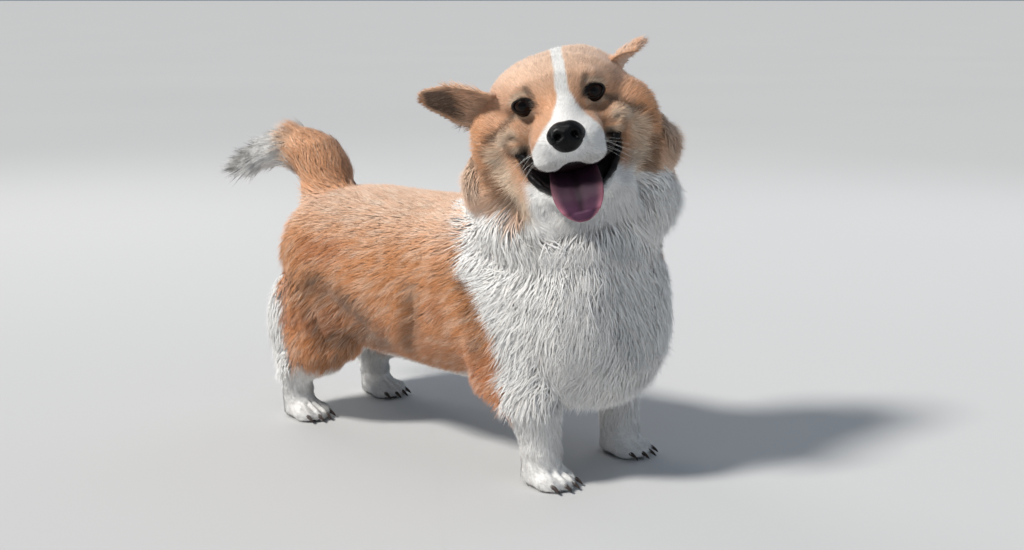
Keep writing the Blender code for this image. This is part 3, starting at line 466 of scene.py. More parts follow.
class CoatMap:
    """Where each kind of coat grows, how deep it is and which way it lies, at any point of the dog."""

    def mouth(self, head: Array) -> Array:
        """1 inside the mouth, between the lips, for points of the head's frame.

        Args:
            head: Points of the head's frame.

        Returns:
            A share from 0 to 1 for each.
        """
        upper = np.array(UPPER_LIP)
        lower = np.array(LOWER_LIP)
        side = np.abs(head[:, 0])
        top = np.interp(side, upper[:, 0], upper[:, 2])
        bottom = np.interp(side, lower[:, 0], lower[:, 2])
        below = 1 - ramp(head[:, 2], top - 0.0015, top + 0.0015)
        between = below * ramp(head[:, 2], bottom - 0.002, bottom + 0.001)
        lobes = ramp(head[:, 2], -0.074, -0.07) * (1 - ramp(head[:, 1], -0.06, -0.05))
        between = between * (1 - lobes)
        return between * (1 - ramp(side, 0.05, 0.054)) * (1 - ramp(head[:, 1], 0.004, 0.014))

    def tail(self, points: Array) -> tuple[Array, Array]:
        """How much a point belongs to the tail, and how far along it from 0 to 1.

        Args:
            points: Places on or near the dog.

        Returns:
            The share and the run, one of each for a point.
        """
        path = np.array([place for place, _ in TAIL_PATH])
        best = np.full(len(points), 1e9)
        run = np.zeros(len(points))
        for index in range(len(path) - 1):
            start, step = path[index], path[index + 1] - path[index]
            share = np.clip(((points - start) @ step) / (step @ step), 0, 1)
            away = np.linalg.norm(points - start - share[:, None] * step, axis=1)
            run = np.where(away < best, (index + share) / (len(path) - 1), run)
            best = np.minimum(best, away)
        near = 1 - ramp(best, 0.046, 0.062)
        return near * ramp(points[:, 2], 0.262, 0.285) * ramp(points[:, 1], 0.18, 0.2), run

    def cheek(self, head: Array) -> Array:
        """The long hair of the cheeks, behind the mouth and below the eyes."""
        reach = 1 - ramp(np.linalg.norm(head, axis=1), 0.12, 0.15)
        wide = ramp(np.abs(head[:, 0]), 0.052, 0.082)
        return reach * wide * ramp(head[:, 1], 0.0, 0.034) * ramp(head[:, 2], 0.004, -0.03)

    def ruff(self, points: Array, head: Array) -> Array:
        """The ruff, all round the neck from the cheeks to the chest."""
        outside = np.maximum(ramp(head[:, 1], 0.004, 0.03), ramp(np.abs(head[:, 0]), 0.052, 0.07))
        outside = np.maximum(outside, ramp(head[:, 2], -0.112, -0.132))
        low = ramp(head[:, 2], -0.07, -0.1) * ramp(points[:, 2], 0.2, 0.25)
        return outside * low * ramp(points[:, 1], -0.02, -0.075)

    def bib(self, points: Array) -> Array:
        """The long hair of the chest."""
        front = ramp(points[:, 1], -0.095, -0.15)
        return front * ramp(points[:, 2], 0.075, 0.125) * (1 - ramp(points[:, 2], 0.235, 0.285))

    def breech(self, points: Array) -> Array:
        """The long hair on the back of the thighs."""
        low = ramp(points[:, 1], 0.175, 0.222) * ramp(points[:, 2], 0.05, 0.09)
        return low * (1 - ramp(points[:, 2], 0.18, 0.24))

    def skull(self, head: Array) -> Array:
        """The head with the face, without the long hair of the cheeks."""
        near = 1 - ramp(np.linalg.norm(head * (1.0, 0.85, 1.0), axis=1), 0.105, 0.13)
        return near * ramp(head[:, 2], -0.115, -0.09)

    def face(self, head: Array) -> Array:
        """The short-haired mask round eyes, nose and mouth."""
        front = 1 - ramp(head[:, 1], -0.01, 0.026)
        narrow = 1 - ramp(np.abs(head[:, 0]), 0.058, 0.074)
        return front * narrow * (1 - ramp(np.abs(head[:, 2] + 0.03), 0.062, 0.085))

    def leg(self, points: Array) -> Array:
        """The lower legs and paws."""
        return 1 - ramp(points[:, 2], 0.085, 0.125)

    def paw(self, points: Array) -> Array:
        """The paws alone."""
        return 1 - ramp(points[:, 2], 0.034, 0.052)

    def long_depth(self, points: Array, head: Array) -> Array:
        """Depth of the long coat from its dense core to its tips.

        Args:
            points: Places on the dog.
            head: The same in the head's frame.

        Returns:
            One depth for each point.
        """
        tail_share, run = self.tail(points)
        sizes = np.array([size for _, size in TAIL_PATH])
        thin = np.interp(run, np.linspace(0, 1, len(sizes)), sizes / sizes[0])
        chest = (1 - self.ruff(points, head)) * (1 - self.bib(points)) * (1 - 0.8 * self.cheek(head))
        chest = 1 - chest
        return np.max((chest * 0.0175, self.breech(points) * 0.015, tail_share * thin * 0.013), axis=0)

    def length(self, points: Array) -> Array:
        """Length of the hair, from 6 mm on the face to 48 mm on the tail."""
        head = to_head(points)
        tail_share, run = self.tail(points)
        long = np.full(len(points), 0.02)
        long = long + (0.013 - long) * self.leg(points)
        long = long + (0.011 - long) * self.skull(head)
        for share, size in (
            (self.breech(points), 0.036), (self.bib(points), 0.034), (self.ruff(points, head), 0.036),
            (self.cheek(head), 0.03), (tail_share, 0.03 + 0.018 * run), (self.face(head), 0.006),
            (self.paw(points), 0.0062),
        ):
            long = long + (size - long) * share
        return long

    def short_depth(self, points: Array, head: Array) -> Array:
        """Depth of the short coat."""
        face = self.face(head)
        skull = self.skull(head)
        muzzle = 1 - ramp(head[:, 1], -0.045, -0.015)
        depth = np.full(len(points), 0.0072)
        depth = depth + (0.0042 - depth) * skull
        depth = depth + (0.0024 - 0.0009 * muzzle - depth) * face
        depth = depth + (0.004 - depth) * self.leg(points)
        return depth + (0.0022 - depth) * self.paw(points)

    def depth(self, points: Array) -> Array:
        """How far the tips of the coat stand above the skin."""
        head = to_head(points)
        return np.maximum(self.long_depth(points, head) * 0.9, self.short_depth(points, head))

    def hairy(self, head: Array) -> Array:
        """1 where hair grows, and 0 on eyes, nose, lips and inside the mouth."""
        side = np.abs(head[:, 0])
        eye = ramp(np.hypot((side - EYE_HALF_SPACING) / 0.0106, head[:, 2] / 0.0078), 0.98, 1.08)
        eye = np.maximum(eye, ramp(head[:, 1], 0.0, 0.004))
        from_pad = (head - np.array((0, -0.08, -0.037))) / (0.0185, 0.016, 0.0155)
        nose = ramp(np.linalg.norm(from_pad, axis=1), 0.9, 1.05)
        return eye * nose * (1 - ramp(self.mouth(head), 0.05, 0.5))

    def zones(self, points: Array) -> dict[str, Array]:
        """Shares of the coat's zones, which add up to 1 wherever hair grows.

        Args:
            points: Places on the skin.

        Returns:
            A share for each point, by the zone's name.
        """
        head = to_head(points)
        tail_share, run = self.tail(points)
        jaw = (1 - ramp(head[:, 1], 0.004, 0.03)) * (1 - ramp(head[:, 2], -0.08, -0.07))
        jaw = jaw * (1 - ramp(np.abs(head[:, 0]), 0.054, 0.068)) * ramp(head[:, 2], -0.138, -0.12)
        fore = ramp(points[:, 1], 0.02, -0.06)
        neck = ramp(head[:, 2], -0.06, -0.09) * ramp(points[:, 2], 0.235, 0.25) * fore
        neck = np.maximum(neck, ramp(points[:, 2], 0.275, 0.29) * fore)
        claims = {
            "paw": self.paw(points), "tail": tail_share, "jaw": jaw, "face": self.face(head),
            "cheek": self.cheek(head), "head": self.skull(head), "neck": neck,
            "bib": self.bib(points), "breech": self.breech(points), "leg": self.leg(points),
        }
        rest = self.hairy(head)
        shares = {}
        for name, claim in claims.items():
            shares[name] = rest * np.clip(claim, 0, 1)
            rest = rest - shares[name]
        shares["torso"] = rest
        shares["paw"] = shares["paw"] * ramp(points[:, 2], 0.005, 0.008)
        shares["tail_tip"] = shares["tail"] * ramp(run, 0.48, 0.56)
        shares["tail"] = shares["tail"] - shares["tail_tip"]
        return shares

    def flow(self, points: Array, normals: Array) -> Array:
        """The lie of the coat along the skin, as unit vectors.

        Args:
            points: Places on the skin.
            normals: Its outward direction there.

        Returns:
            One direction for each point.
        """
        head = to_head(points)
        x, y, z = points.T
        high = ramp(z, 0.2, 0.29)
        lie = np.stack((0.25 * x, 0.85 + 0.0 * x, -0.66 + 0.4 * high), axis=1)
        thigh = ramp(y, 0.1, 0.19) * (1 - high)
        lie = mix(lie, np.stack((0.3 * x, 0.5 - 0.1 * thigh, -1.0 + 0.0 * x), axis=1), thigh)
        chest = ramp(y, -0.1, -0.19)
        lie = mix(lie, np.stack((3.0 * x, 0.16 + 0.0 * x, -1.0 + 0.0 * x), axis=1), chest)
        neck = ramp(z, 0.225, 0.25) * ramp(y, -0.04, -0.09)
        lie = mix(lie, np.stack((2.5 * x, 0.2 + 2.5 * (y + 0.13), -1.0 + 0.0 * x), axis=1), neck)
        belly = ramp(-normals[:, 2], 0.5, 0.8) * ramp(z, 0.13, 0.1)
        lie = mix(lie, np.stack((1.5 * x, 1.0 + 0.0 * x, 0.0 * x), axis=1), belly)
        lie = mix(lie, np.array((0.0, 0.15, -1.0)), self.leg(points))
        lie = mix(lie, np.array((0.0, -1.0, -0.35)), self.paw(points))
        breech = self.breech(points)
        lie = mix(lie, np.stack((2.5 * x, 0.38 + 0.0 * x, -1.0 + 0.0 * x), axis=1), breech)
        tail_share, run = self.tail(points)
        path = np.array([place for place, _ in TAIL_PATH])
        steps = unit(np.gradient(path, axis=0))
        stops = np.linspace(0, 1, len(path))
        along = np.stack([np.interp(run, stops, steps[:, axis]) for axis in range(3)], axis=1)
        lie = mix(lie, along, tail_share)
        from_nose = unit(head - np.array(NOSE_TIP))
        drop = self.cheek(head)
        sides = np.sign(head[:, 0])
        right_lean = 0.3 - 0.85 * ramp(head[:, 2], -0.03, -0.085)
        left_lean = 0.6 - 0.55 * ramp(head[:, 2], -0.03, -0.11)
        outward = np.where(sides < 0, right_lean, left_lean)
        down = np.stack((sides * outward, 0.3 + 0.0 * x, -1.0 + 0.0 * x), axis=1)
        lie_head = mix(from_nose, unit(down), np.maximum(drop, ramp(head[:, 2], -0.085, -0.11)))
        near = (1 - ramp(np.linalg.norm(head, axis=1), 0.14, 0.17)) * ramp(np.abs(head[:, 0]), 0.03, 0.05)
        skull = np.max((self.skull(head), drop, near), axis=0)
        lie = mix(lie, lie_head @ HEAD_AXES.T, skull)
        lie = lie - normals * np.sum(lie * normals, axis=1, keepdims=True)
        return unit(lie)


@dataclass(frozen=True)
class Palette:
    """Colours of the dog, as the coat shows them in daylight, with a grey-brown for painted shade."""

    orange: Triple = (212, 143, 90)
    deep_orange: Triple = (184, 108, 58)
    pale_orange: Triple = (238, 206, 182)
    cream: Triple = (240, 222, 200)
    fawn: Triple = (222, 196, 170)
    white: Triple = (250, 248, 245)
    # Grey-brown of the painted shade in the folds of flank, elbow, shoulder and face.
    painted_shade_brown: Triple = (80, 60, 44)
    dark: Triple = (26, 20, 19)
    mouth: Triple = (24, 14, 17)
    pad: Triple = (52, 44, 42)

    def linear(self, name: str) -> Array:
        """One of the colours in linear values."""
        return srgb(*getattr(self, name))


class Markings:
    """The pattern of the coat, with painted light and shade in it, shared by the skin and every tuft."""

    collar_line = (
        (0.1, -0.143), (0.147, -0.138), (0.171, -0.127), (0.193, -0.119), (0.216, -0.103),
        (0.235, -0.08), (0.256, -0.063), (0.278, -0.041), (0.29, -0.01), (0.3, 0.06),
    )
    left_collar_line = (
        (0.1, -0.143), (0.15, -0.16), (0.19, -0.19), (0.22, -0.206), (0.25, -0.218),
        (0.27, -0.226), (0.29, -0.236), (0.33, -0.238),
    )

    def __init__(self, coat: CoatMap, palette: Palette) -> None:
        """Keeps the coat map and palette that the pattern is worked out from."""
        self.coat = coat
        self.palette = palette

    def white_share(self, points: Array, normals: Array) -> Array:
        """How white the coat is at each point.

        Args:
            points: Places on the dog.
            normals: The skin's outward direction there.

        Returns:
            A share from 0 to 1 for each.
        """
        head = to_head(points)
        rough = lattice_noise(points, 0.012, 3) - 0.5
        x, y, z = points[:, 0], points[:, 1] + rough * 0.012, points[:, 2]
        right = np.array(self.collar_line)
        left = np.array(self.left_collar_line)
        edge = np.interp(z, right[:, 0], right[:, 1])
        edge_left = np.interp(z, left[:, 0], left[:, 1])
        edge = edge + (edge_left - edge) * ramp(x, 0.01, 0.05)
        front = 1 - ramp(y, edge - 0.004, edge + 0.004)
        low = np.maximum(1 - ramp(z + rough * 0.02, 0.062, 0.078), 0)
        back_edge = np.interp(z, (0.07, 0.12, 0.15, 0.18), (0.206, 0.216, 0.228, 0.243))
        breech = ramp(y, back_edge - 0.004, back_edge + 0.004) * (1 - ramp(z, 0.176, 0.192))
        breech = breech * ramp(z, 0.04, 0.06)
        belly = ramp(-normals[:, 2], 0.72, 0.92) * ramp(z, 0.12, 0.1)
        inner = (1 - ramp(np.abs(x), 0.036, 0.048)) * ramp(z, 0.13, 0.105)
        tail_share, run = self.coat.tail(points)
        tip = ramp(run + rough * 0.1, 0.6, 0.72) * tail_share
        body = np.max((front * (1 - tail_share), low, breech, belly, inner, tip), axis=0)
        return body + (self.head_white(head, rough) - body) * self.head_zone(head, rough)

    def head_zone(self, head: Array, rough: Array) -> Array:
        """1 where the pattern of the head holds, and 0 where that of the body does.

        Args:
            head: Points of the head's frame.
            rough: Noise that breaks the edge.

        Returns:
            A share from 0 to 1 for each.
        """
        right_edge = np.interp(-head[:, 0], (0.05, 0.08, 0.11), (-0.116, -0.112, -0.094))
        edge = np.where(head[:, 0] < 0, right_edge, -0.093)
        edge = edge + 0.024 * ramp(head[:, 1], 0.05, 0.09)
        sides = ramp(head[:, 2] + rough * 0.016, edge - 0.006, edge + 0.006)
        return sides * (1 - ramp(np.linalg.norm(head, axis=1), 0.16, 0.175))

    def head_white(self, head: Array, rough: Array) -> Array:
        """How white the head is: blaze, muzzle, chin and throat."""
        x, y, z = head[:, 0] + rough * 0.003, head[:, 1], head[:, 2]
        x = x - np.interp(z, (-0.06, -0.04, -0.015, 0.05), (0.0, 0.0025, 0.0055, 0.007))
        half = np.interp(z, (-0.075, -0.06, -0.045, -0.03, -0.018, -0.008, 0.005, 0.03, 0.06),
                         (0.046, 0.043, 0.037, 0.027, 0.017, 0.011, 0.0065, 0.005, 0.006))
        blaze = (1 - ramp(np.abs(x), half - 0.0015, half + 0.0025)) * (1 - ramp(y, 0.05, 0.08))
        chin = (1 - ramp(z, -0.082, -0.07)) * (1 - ramp(np.abs(x), 0.046, 0.058))
        inner = np.where(x < 0, 0.05, 0.062)
        throat = (1 - ramp(np.abs(x), inner - 0.006, inner + 0.008)) * (1 - ramp(z, -0.09, -0.072))
        return np.max((blaze, chin, throat), axis=0)

    def dark_share(self, points: Array) -> Array:
        """How much black or dark brown lies over the coat: eye rims, brows and the corners of the mouth, with
        painted shade in the inner corners of the eyes.

        Args:
            points: Places on the dog.

        Returns:
            A share from 0 to 1 for each.
        """
        head = to_head(points)
        side = np.abs(head[:, 0])
        z = head[:, 2]
        front = 1 - ramp(head[:, 1], -0.004, 0.006)
        eye = np.hypot((side - EYE_HALF_SPACING) / 0.0118, (z - 0.0002) / 0.0088)
        rim = 1 - ramp(eye, 0.8, 1.15)
        flat = np.stack((side, z), axis=1)
        brow = 1 - ramp(to_line(flat, ((0.0262, 0.006), (0.03, 0.0165))), 0.0016, 0.0052)
        # Painted shade in the hollow at the inner corner of each eye.
        inner = 1 - ramp(np.hypot((side - 0.0258) / 0.0042, (z + 0.001) / 0.0048), 0.5, 1.3)
        corner = 1 - ramp(np.hypot((side - 0.0455) / 0.008, (z + 0.058) / 0.0185), 0.55, 1.15)
        corner = corner * (1 - ramp(head[:, 1], -0.004, 0.004))
        mouth_line = to_line(flat, [(x, height) for x, _, height in LOWER_LIP[2:]])
        seam = (1 - ramp(mouth_line, 0.003, 0.0058)) * (1 - ramp(head[:, 1], 0.004, 0.012))
        corner = np.maximum(corner, seam)
        lip = np.interp(head[:, 1], np.array(UPPER_LIP)[:, 1], np.array(UPPER_LIP)[:, 2])
        edge = (1 - ramp(np.abs(z - lip), 0.0022, 0.005)) * (1 - ramp(head[:, 1], -0.01, 0.0))
        edge = edge * ramp(side, 0.0, 0.02)
        marks = (rim * front, brow * 0.62 * front, inner * 0.65 * front, corner * 0.94, edge * 0.3)
        return np.max(marks, axis=0)

    def painted_shade_share(self, points: Array) -> Array:
        """How much painted shade, a grey-brown over the orange, lies in the folds of flank, elbow, shoulder
        and cheeks and in the creases of the face.
        """
        body = folded(points)
        head = to_head(points)
        total = np.zeros(len(points))
        for line, radius, amount in BODY_SHADES:
            total = np.maximum(total, amount * (1 - ramp(to_line(body, line), radius * 0.1, radius * 1.7)))
        total = total * np.clip(0.45 + 1.05 * self.streaks(points, 0.006, 23), 0, 1.3)
        # Painted shade in the creases of the face, the deeper the darker.
        creases = [(line, radius, abs(depth) * CREASE_TO_PAINTED_SHADE) for line, radius, depth in FACE_CREASES]
        hollows = 0.8 * front_lines(head, creases, 0.2, 1.1)
        return np.max((total, front_lines(head, FACE_SHADES, 0.2, 1.4), hollows), axis=0)

    def streaks(self, points: Array, cell: float, seed: int) -> Array:
        """Noise from 0 to 1, drawn out along the lie of the coat on the flanks."""
        along = points[:, 1] * 0.85 - points[:, 2] * 0.53
        across = points[:, 1] * 0.53 + points[:, 2] * 0.85
        return lattice_noise(np.stack((points[:, 0], along * 0.22, across), axis=1), cell, seed)

    def colour(self, points: Array, normals: Array) -> Array:
        """The coat's linear colour at each point, painted light and shade included.

        Args:
            points: Places on the skin, in the dog's frame.
            normals: The skin's outward direction there.

        Returns:
            Linear red, green and blue, one row for each point.
        """
        tone = self.palette.linear
        head = to_head(points)
        broad = lattice_noise(points, 0.045, 11)
        fine = lattice_noise(points, 0.009, 12)
        orange = np.repeat(tone("orange")[None], len(points), axis=0)
        # Painted shade: the orange deepens lower down the body, towards the belly.
        low = ramp(points[:, 2], 0.22, 0.1) * 0.35
        orange = mix(orange, tone("deep_orange"), 0.1 + 0.55 * ramp(broad, 0.55, 0.9) + low)
        # Painted light: the coat pales towards the top of the back, where the light falls; fine noise adds
        # random pale flecks.
        light = ramp(points[:, 2], 0.225, 0.285) * 0.6 + ramp(fine, 0.6, 0.95) * 0.15
        # Pale streaks along the lie of the coat: partly the pale undercoat, partly painted glints of light.
        light = light + ramp(self.streaks(points, 0.0038, 17), 0.4, 0.85) * 0.42
        light = light * (1 - 0.7 * self.coat.tail(points)[0])
        skull = self.coat.skull(head)
        # Painted light: the skull's coat is paler, palest towards the crown, where the light falls on the
        # forehead.
        light = np.maximum(light * (1 - skull), skull * (0.3 + 0.5 * ramp(head[:, 2], -0.005, 0.045)))
        orange = mix(orange, tone("pale_orange"), light)
        cheek_edge = ramp(np.abs(head[:, 0]), 0.07, 0.092) * skull * ramp(head[:, 2], 0.02, -0.01)
        orange = mix(orange, tone("orange") * 0.95, cheek_edge * 0.8)
        inner_cheek = (1 - ramp(np.abs(head[:, 0]), 0.058, 0.078)) * ramp(head[:, 2], -0.055, -0.075)
        inner_cheek = inner_cheek * ramp(head[:, 1], -0.004, 0.01)
        inner_cheek = inner_cheek * (1 - ramp(np.linalg.norm(head, axis=1), 0.14, 0.15))
        orange = mix(orange, tone("cream"), inner_cheek * 0.35)
        pale = np.maximum(0.5 * self.coat.cheek(head), front_lines(head, FACE_LIGHTS, 0.3, 1.6))
        orange = mix(orange, tone("fawn"), pale * (0.65 + 0.6 * lattice_noise(points, 0.006, 27)))
        tail_share, run = self.coat.tail(points)
        orange = mix(orange, tone("cream"), tail_share * ramp(run, 0.54, 0.68) * 0.6)
        # Painted shade laid over the orange in folds and creases.
        orange = mix(orange, tone("painted_shade_brown"), self.painted_shade_share(points))
        coat = mix(orange, tone("white"), self.white_share(points, normals))
        coat = mix(coat, tone("dark"), self.dark_share(points))
        coat = mix(coat, tone("mouth"), self.coat.mouth(head))
        pads = (1 - ramp(points[:, 2], 0.0055, 0.0085)) * ramp(-normals[:, 2], 0.3, 0.7)
        return mix(coat, tone("pad"), pads)


@dataclass
class Surface:
    """A mesh read into arrays, on which tufts are rooted."""

    places: Array
    normals: Array
    triangles: Array
    patches: Array
    tree: BVHTree

    @classmethod
    def read(cls, obj: Piece, unwrap: str) -> "Surface":
        """Reads an object's vertices, normals, triangles and unwrap.

        Args:
            obj: The object to read, which sits at the origin.
            unwrap: Name of its UV map.

        Returns:
            The surface.
        """
        mesh = obj.data
        mesh.calc_loop_triangles()
        places, normals = vertex_arrays(obj)
        triangles = np.empty(len(mesh.loop_triangles) * 3, np.int32)
        mesh.loop_triangles.foreach_get("vertices", triangles)
        loops = np.empty(len(mesh.loop_triangles) * 3, np.int32)
        mesh.loop_triangles.foreach_get("loops", loops)
        patches = np.empty(len(mesh.loops) * 2, np.float32)
        mesh.uv_layers[unwrap].data.foreach_get("uv", patches)
        triangles = triangles.reshape(-1, 3)
        tree = BVHTree.FromPolygons(places.tolist(), triangles.tolist())
        return cls(places, normals, triangles,
                   patches.reshape(-1, 2)[loops].reshape(-1, 3, 2).astype(float), tree)

    def centres(self) -> tuple[Array, Array]:
        """The middle of each triangle and its area."""
        a, b, c = (self.places[self.triangles[:, corner]] for corner in range(3))
        return (a + b + c) / 3, 0.5 * np.linalg.norm(np.cross(b - a, c - a), axis=1)

    def nearest(self, points: Array) -> tuple[Array, Array]:
        """The nearest place on the surface to each point, and the outward direction there.

        Args:
            points: Places near the surface.

        Returns:
            Places and directions, one of each for a point.
        """
        places = np.empty_like(points)
        normals = np.empty_like(points)
        find = self.tree.find_nearest
        for index, point in enumerate(points.tolist()):
            place, normal, _, _ = find(point)
            places[index] = place
            normals[index] = normal
        return places, normals


@dataclass(frozen=True)
class TuftKind:
    """One kind of tuft: where it grows, how many, and its size and lie."""

    name: str
    slot: Slot
    share: Field
    count: int
    width: float
    bends: bool = False
    stretch: float = 1.0
    length: float = 0.0
    lift: float = 1.0
    scatter: float = 0.16
    clump: float = 0.0
    clump_size: int = 40
    roundness: float = 0.35
    stray: float = 0.1
    vary: float = 0.1


class TuftMaker:
    """Grows tufts on a surface as joined meshes of thin closed spikes."""

    patch = 0.003

    def __init__(self, coat: CoatMap, markings: Markings, shift: Vector, finish: Finish) -> None:
        """Keeps what every tuft is worked out from."""
        self.coat = coat
        self.markings = markings
        self.shift = np.array(shift)
        self.finish = finish

    def roots(self, surface: Surface, kind: TuftKind, rng: np.random.Generator) -> tuple[Array, Array, Array]:
        """Random root places with their normals and patches on the unwrap.

        Args:
            surface: What the tufts are rooted in.
            kind: Number and zone of the tufts.
            rng: Source of the draws.

        Returns:
            Places, outward directions and places on the unwrap.
        """
        centres, area = surface.centres()
        weight = area * np.clip(kind.share(centres), 0, None)
        count = kind.count
        chosen = rng.choice(len(weight), size=count, p=weight / weight.sum())
        u, v = rng.random(count), rng.random(count)
        over = u + v > 1
        u, v = np.where(over, 1 - u, u), np.where(over, 1 - v, v)
        shares = np.stack((1 - u - v, u, v), axis=1)
        corners = surface.triangles[chosen]
        places = np.einsum("nk,nkd->nd", shares, surface.places[corners])
        normals = unit(np.einsum("nk,nkd->nd", shares, surface.normals[corners]))
        patches = np.einsum("nk,nkd->nd", shares, surface.patches[chosen])
        return places, normals, patches

    def grow(
        self,
        surface: Surface,
        kind: TuftKind,
        seed: int,
        lie: Callable[[Array, Array], Array] | None = None,
        depth: Field | None = None,
        colour: Callable[[Array, Array], Array] | None = None,
    ) -> Piece:
        """Makes one coat piece.

        Args:
            surface: What the tufts are rooted in, in the dog's frame.
            kind: Sizes and number of the tufts.
            seed: Seed of every random draw of this piece.
            lie: Direction of the tufts, or the coat map's own.
            depth: Height of the tips, or the coat map's own.
            colour: Colours, or the markings' own.

        Returns:
            The finished piece.
        """
        rng = np.random.default_rng(seed)
        root, normal, patch = self.roots(surface, kind, rng)
        count = len(root)
        along = (lie or self.coat.flow)(root, normal)
        swirl = (lattice_noise(root, 0.022, 21) - 0.5) * 5.0 * kind.scatter
        angle = rng.normal(0, kind.scatter, count) + swirl
        across = np.cross(normal, along)
        along = along * np.cos(angle)[:, None] + across * np.sin(angle)[:, None]
        length = kind.length or self.coat.length(root) * kind.stretch
        length = length * rng.uniform(0.72, 1.22, count)
        tall = (depth or self.coat.depth)(root) * kind.lift * rng.uniform(0.7, 1.05, count)
        tall = tall * np.where(rng.random(count) < kind.stray, 1.25, 1.0)
        seen = root + along * length[:, None] * 0.5 + normal * tall[:, None] * 0.9
        tint = (colour or self.markings.colour)(seen, normal)
        if kind.bends:
            middle, middle_up = surface.nearest(root + along * length[:, None] * 0.5)
            onward = along - middle_up * np.sum(along * middle_up, axis=1, keepdims=True)
            curl = rng.normal(0, 0.25, count)[:, None]
            onward = unit(unit(onward) + np.cross(middle_up, onward) * curl)
            end, end_up = surface.nearest(middle + onward * length[:, None] * 0.5)
            centre = middle + middle_up * (tall * 0.72)[:, None]
            tip = end + end_up * tall[:, None]
        else:
            middle_up, end_up = normal, normal
            tip = root + along * length[:, None] + normal * tall[:, None]
            centre = None
        tip[:, 2] = np.maximum(tip[:, 2], SOLE_HEIGHT + FLOOR_GAP)
        if kind.clump:
            centre, tip = self.gather(root, centre, tip, kind, rng)
        stations = [root - normal * 0.0008]
        if centre is not None:
            stations.append(centre)
        sizes = [0.62, 1.0] if centre is not None else [1.0]
        width = kind.width * rng.uniform(0.7, 1.25, count)
        rings, ring_normals = [], []
        ups = [normal, middle_up]
        for index, place in enumerate(stations):
            ahead = (stations + [tip])[index + 1] - place
            broad = unit(np.cross(ahead, ups[index])) * (width * sizes[index] * 0.5)[:, None]
            ridge = ups[index] * (width * sizes[index] * 0.28)[:, None]
            for offset, tilt in ((ridge, 0.0), (broad, 1.0), (-broad, -1.0)):
                rings.append(place + offset)
                lean = unit(broad) * tilt * kind.roundness
                ring_normals.append(unit(ups[index] + lean))
        corners = np.stack(rings + [tip], axis=1)
        vectors = np.stack(ring_normals + [end_up], axis=1)
        return self.mesh(kind, corners, vectors, tint, patch, rng)

    def gather(
        self, root: Array, centre: Array | None, tip: Array, kind: TuftKind, rng: np.random.Generator
    ) -> tuple[Array | None, Array]:
        """Draws the tips of neighbouring tufts together into locks.

        Args:
            root: Where each tuft starts.
            centre: Its middle, if it bends.
            tip: Its end.
            kind: Size and pull of the locks.
            rng: Source of the variation.

        Returns:
            The moved middles and ends.
        """
        leaders = max(len(root) // kind.clump_size, 1)
        tree = KDTree(leaders)
        for index in range(leaders):
            tree.insert(root[index], index)
        tree.balance()
        lead = np.array([tree.find(place)[1] for place in root.tolist()])
        pull = kind.clump * rng.uniform(0.6, 1.1, len(root))[:, None]
        tip = tip + (tip[lead] - tip) * pull
        if centre is not None:
            centre = centre + (centre[lead] - centre) * pull * 0.45
        return centre, tip

    def mesh(
        self, kind: TuftKind, corners: Array, vectors: Array, tint: Array, patch: Array,
        rng: np.random.Generator,
    ) -> Piece:
        """Turns arrays of tuft corners into one mesh with colours, normals and its patches.

        Args:
            kind: The kind of tuft.
            corners: Corners of each tuft, three to a ring and the tip last.
            vectors: Outward direction at each corner.
            tint: Colour of each tuft.
            patch: Place of each tuft's root on the unwrap.
            rng: Source of the variation.

        Returns:
            The new object.
        """
        count, each = corners.shape[:2]
        rings = (each - 1) // 3
        faces = [(0, 1, 2)]
        for ring in range(rings - 1):
            low, high = ring * 3, ring * 3 + 3
            for step in range(3):
                following = (step + 1) % 3
                faces.append((low + step, high + step, high + following))
                faces.append((low + step, high + following, low + following))
        last = rings * 3 - 3
        faces += [(last + step, each - 1, last + (step + 1) % 3) for step in range(3)]
        pattern = np.array(faces)[:, ::-1]
        indices = (pattern[None] + (np.arange(count) * each)[:, None, None]).reshape(-1).astype(np.int32)
        mesh = bpy.data.meshes.new(kind.name)
        total = len(indices)
        mesh.vertices.add(count * each)
        mesh.vertices.foreach_set("co", (corners + self.shift).astype(np.float32).ravel())
        mesh.loops.add(total)
        mesh.loops.foreach_set("vertex_index", indices)
        mesh.polygons.add(total // 3)
        mesh.polygons.foreach_set("loop_start", np.arange(0, total, 3, dtype=np.int32))
        mesh.update(calc_edges=True)
        mesh.shade_smooth()
        strand = rng.normal(0, kind.vary, count)
        heights = np.concatenate([np.full(3, ring / rings) for ring in range(rings)] + [[1.0]])
        # Painted shade: each tuft is darker at its root, near the skin, and lighter at its tip; each strand
        # also varies at random.
        shade = (0.84 + 0.22 * heights)[None] * (1 + strand)[:, None]
        # Some tufts are drawn paler, towards cream, at random: partly pale hair, partly painted glints of
        # light.
        pale = np.clip(rng.normal(0.05, 0.1, count), 0, 0.4)
        soft = mix(tint, np.repeat(self.markings.palette.linear("cream")[None], count, axis=0), pale)
        colours = np.ones((count, each, 4), np.float32)
        colours[:, :, :3] = np.clip(soft[:, None, :] * shade[:, :, None], 0, 0.98)
        attribute = mesh.color_attributes.new("coat_tint", "FLOAT_COLOR", "POINT")
        attribute.data.foreach_set("color", colours.ravel())
        spread = np.zeros((each, 2))
        for index in range(each):
            turn = math.tau * (index % 3) / 3
            radius = 0.5 * (1 - heights[index] * 0.6)
            spread[index] = (math.cos(turn) * radius, math.sin(turn) * radius)
        unwrap = np.clip(patch[:, None, :] + spread[None] * self.patch, 0.001, 0.999).reshape(-1, 2)
        layer = mesh.uv_layers.new(name="OFBake")
        layer.data.foreach_set("uv", unwrap[indices].astype(np.float32).ravel())
        mesh.normals_split_custom_set_from_vertices(vectors.reshape(-1, 3).astype(np.float32))
        mesh.materials.append(self.finish)
        made = bpy.data.objects.new(kind.name, mesh)
        bpy.context.scene.collection.objects.link(made)
        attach(made, "root")
        return made


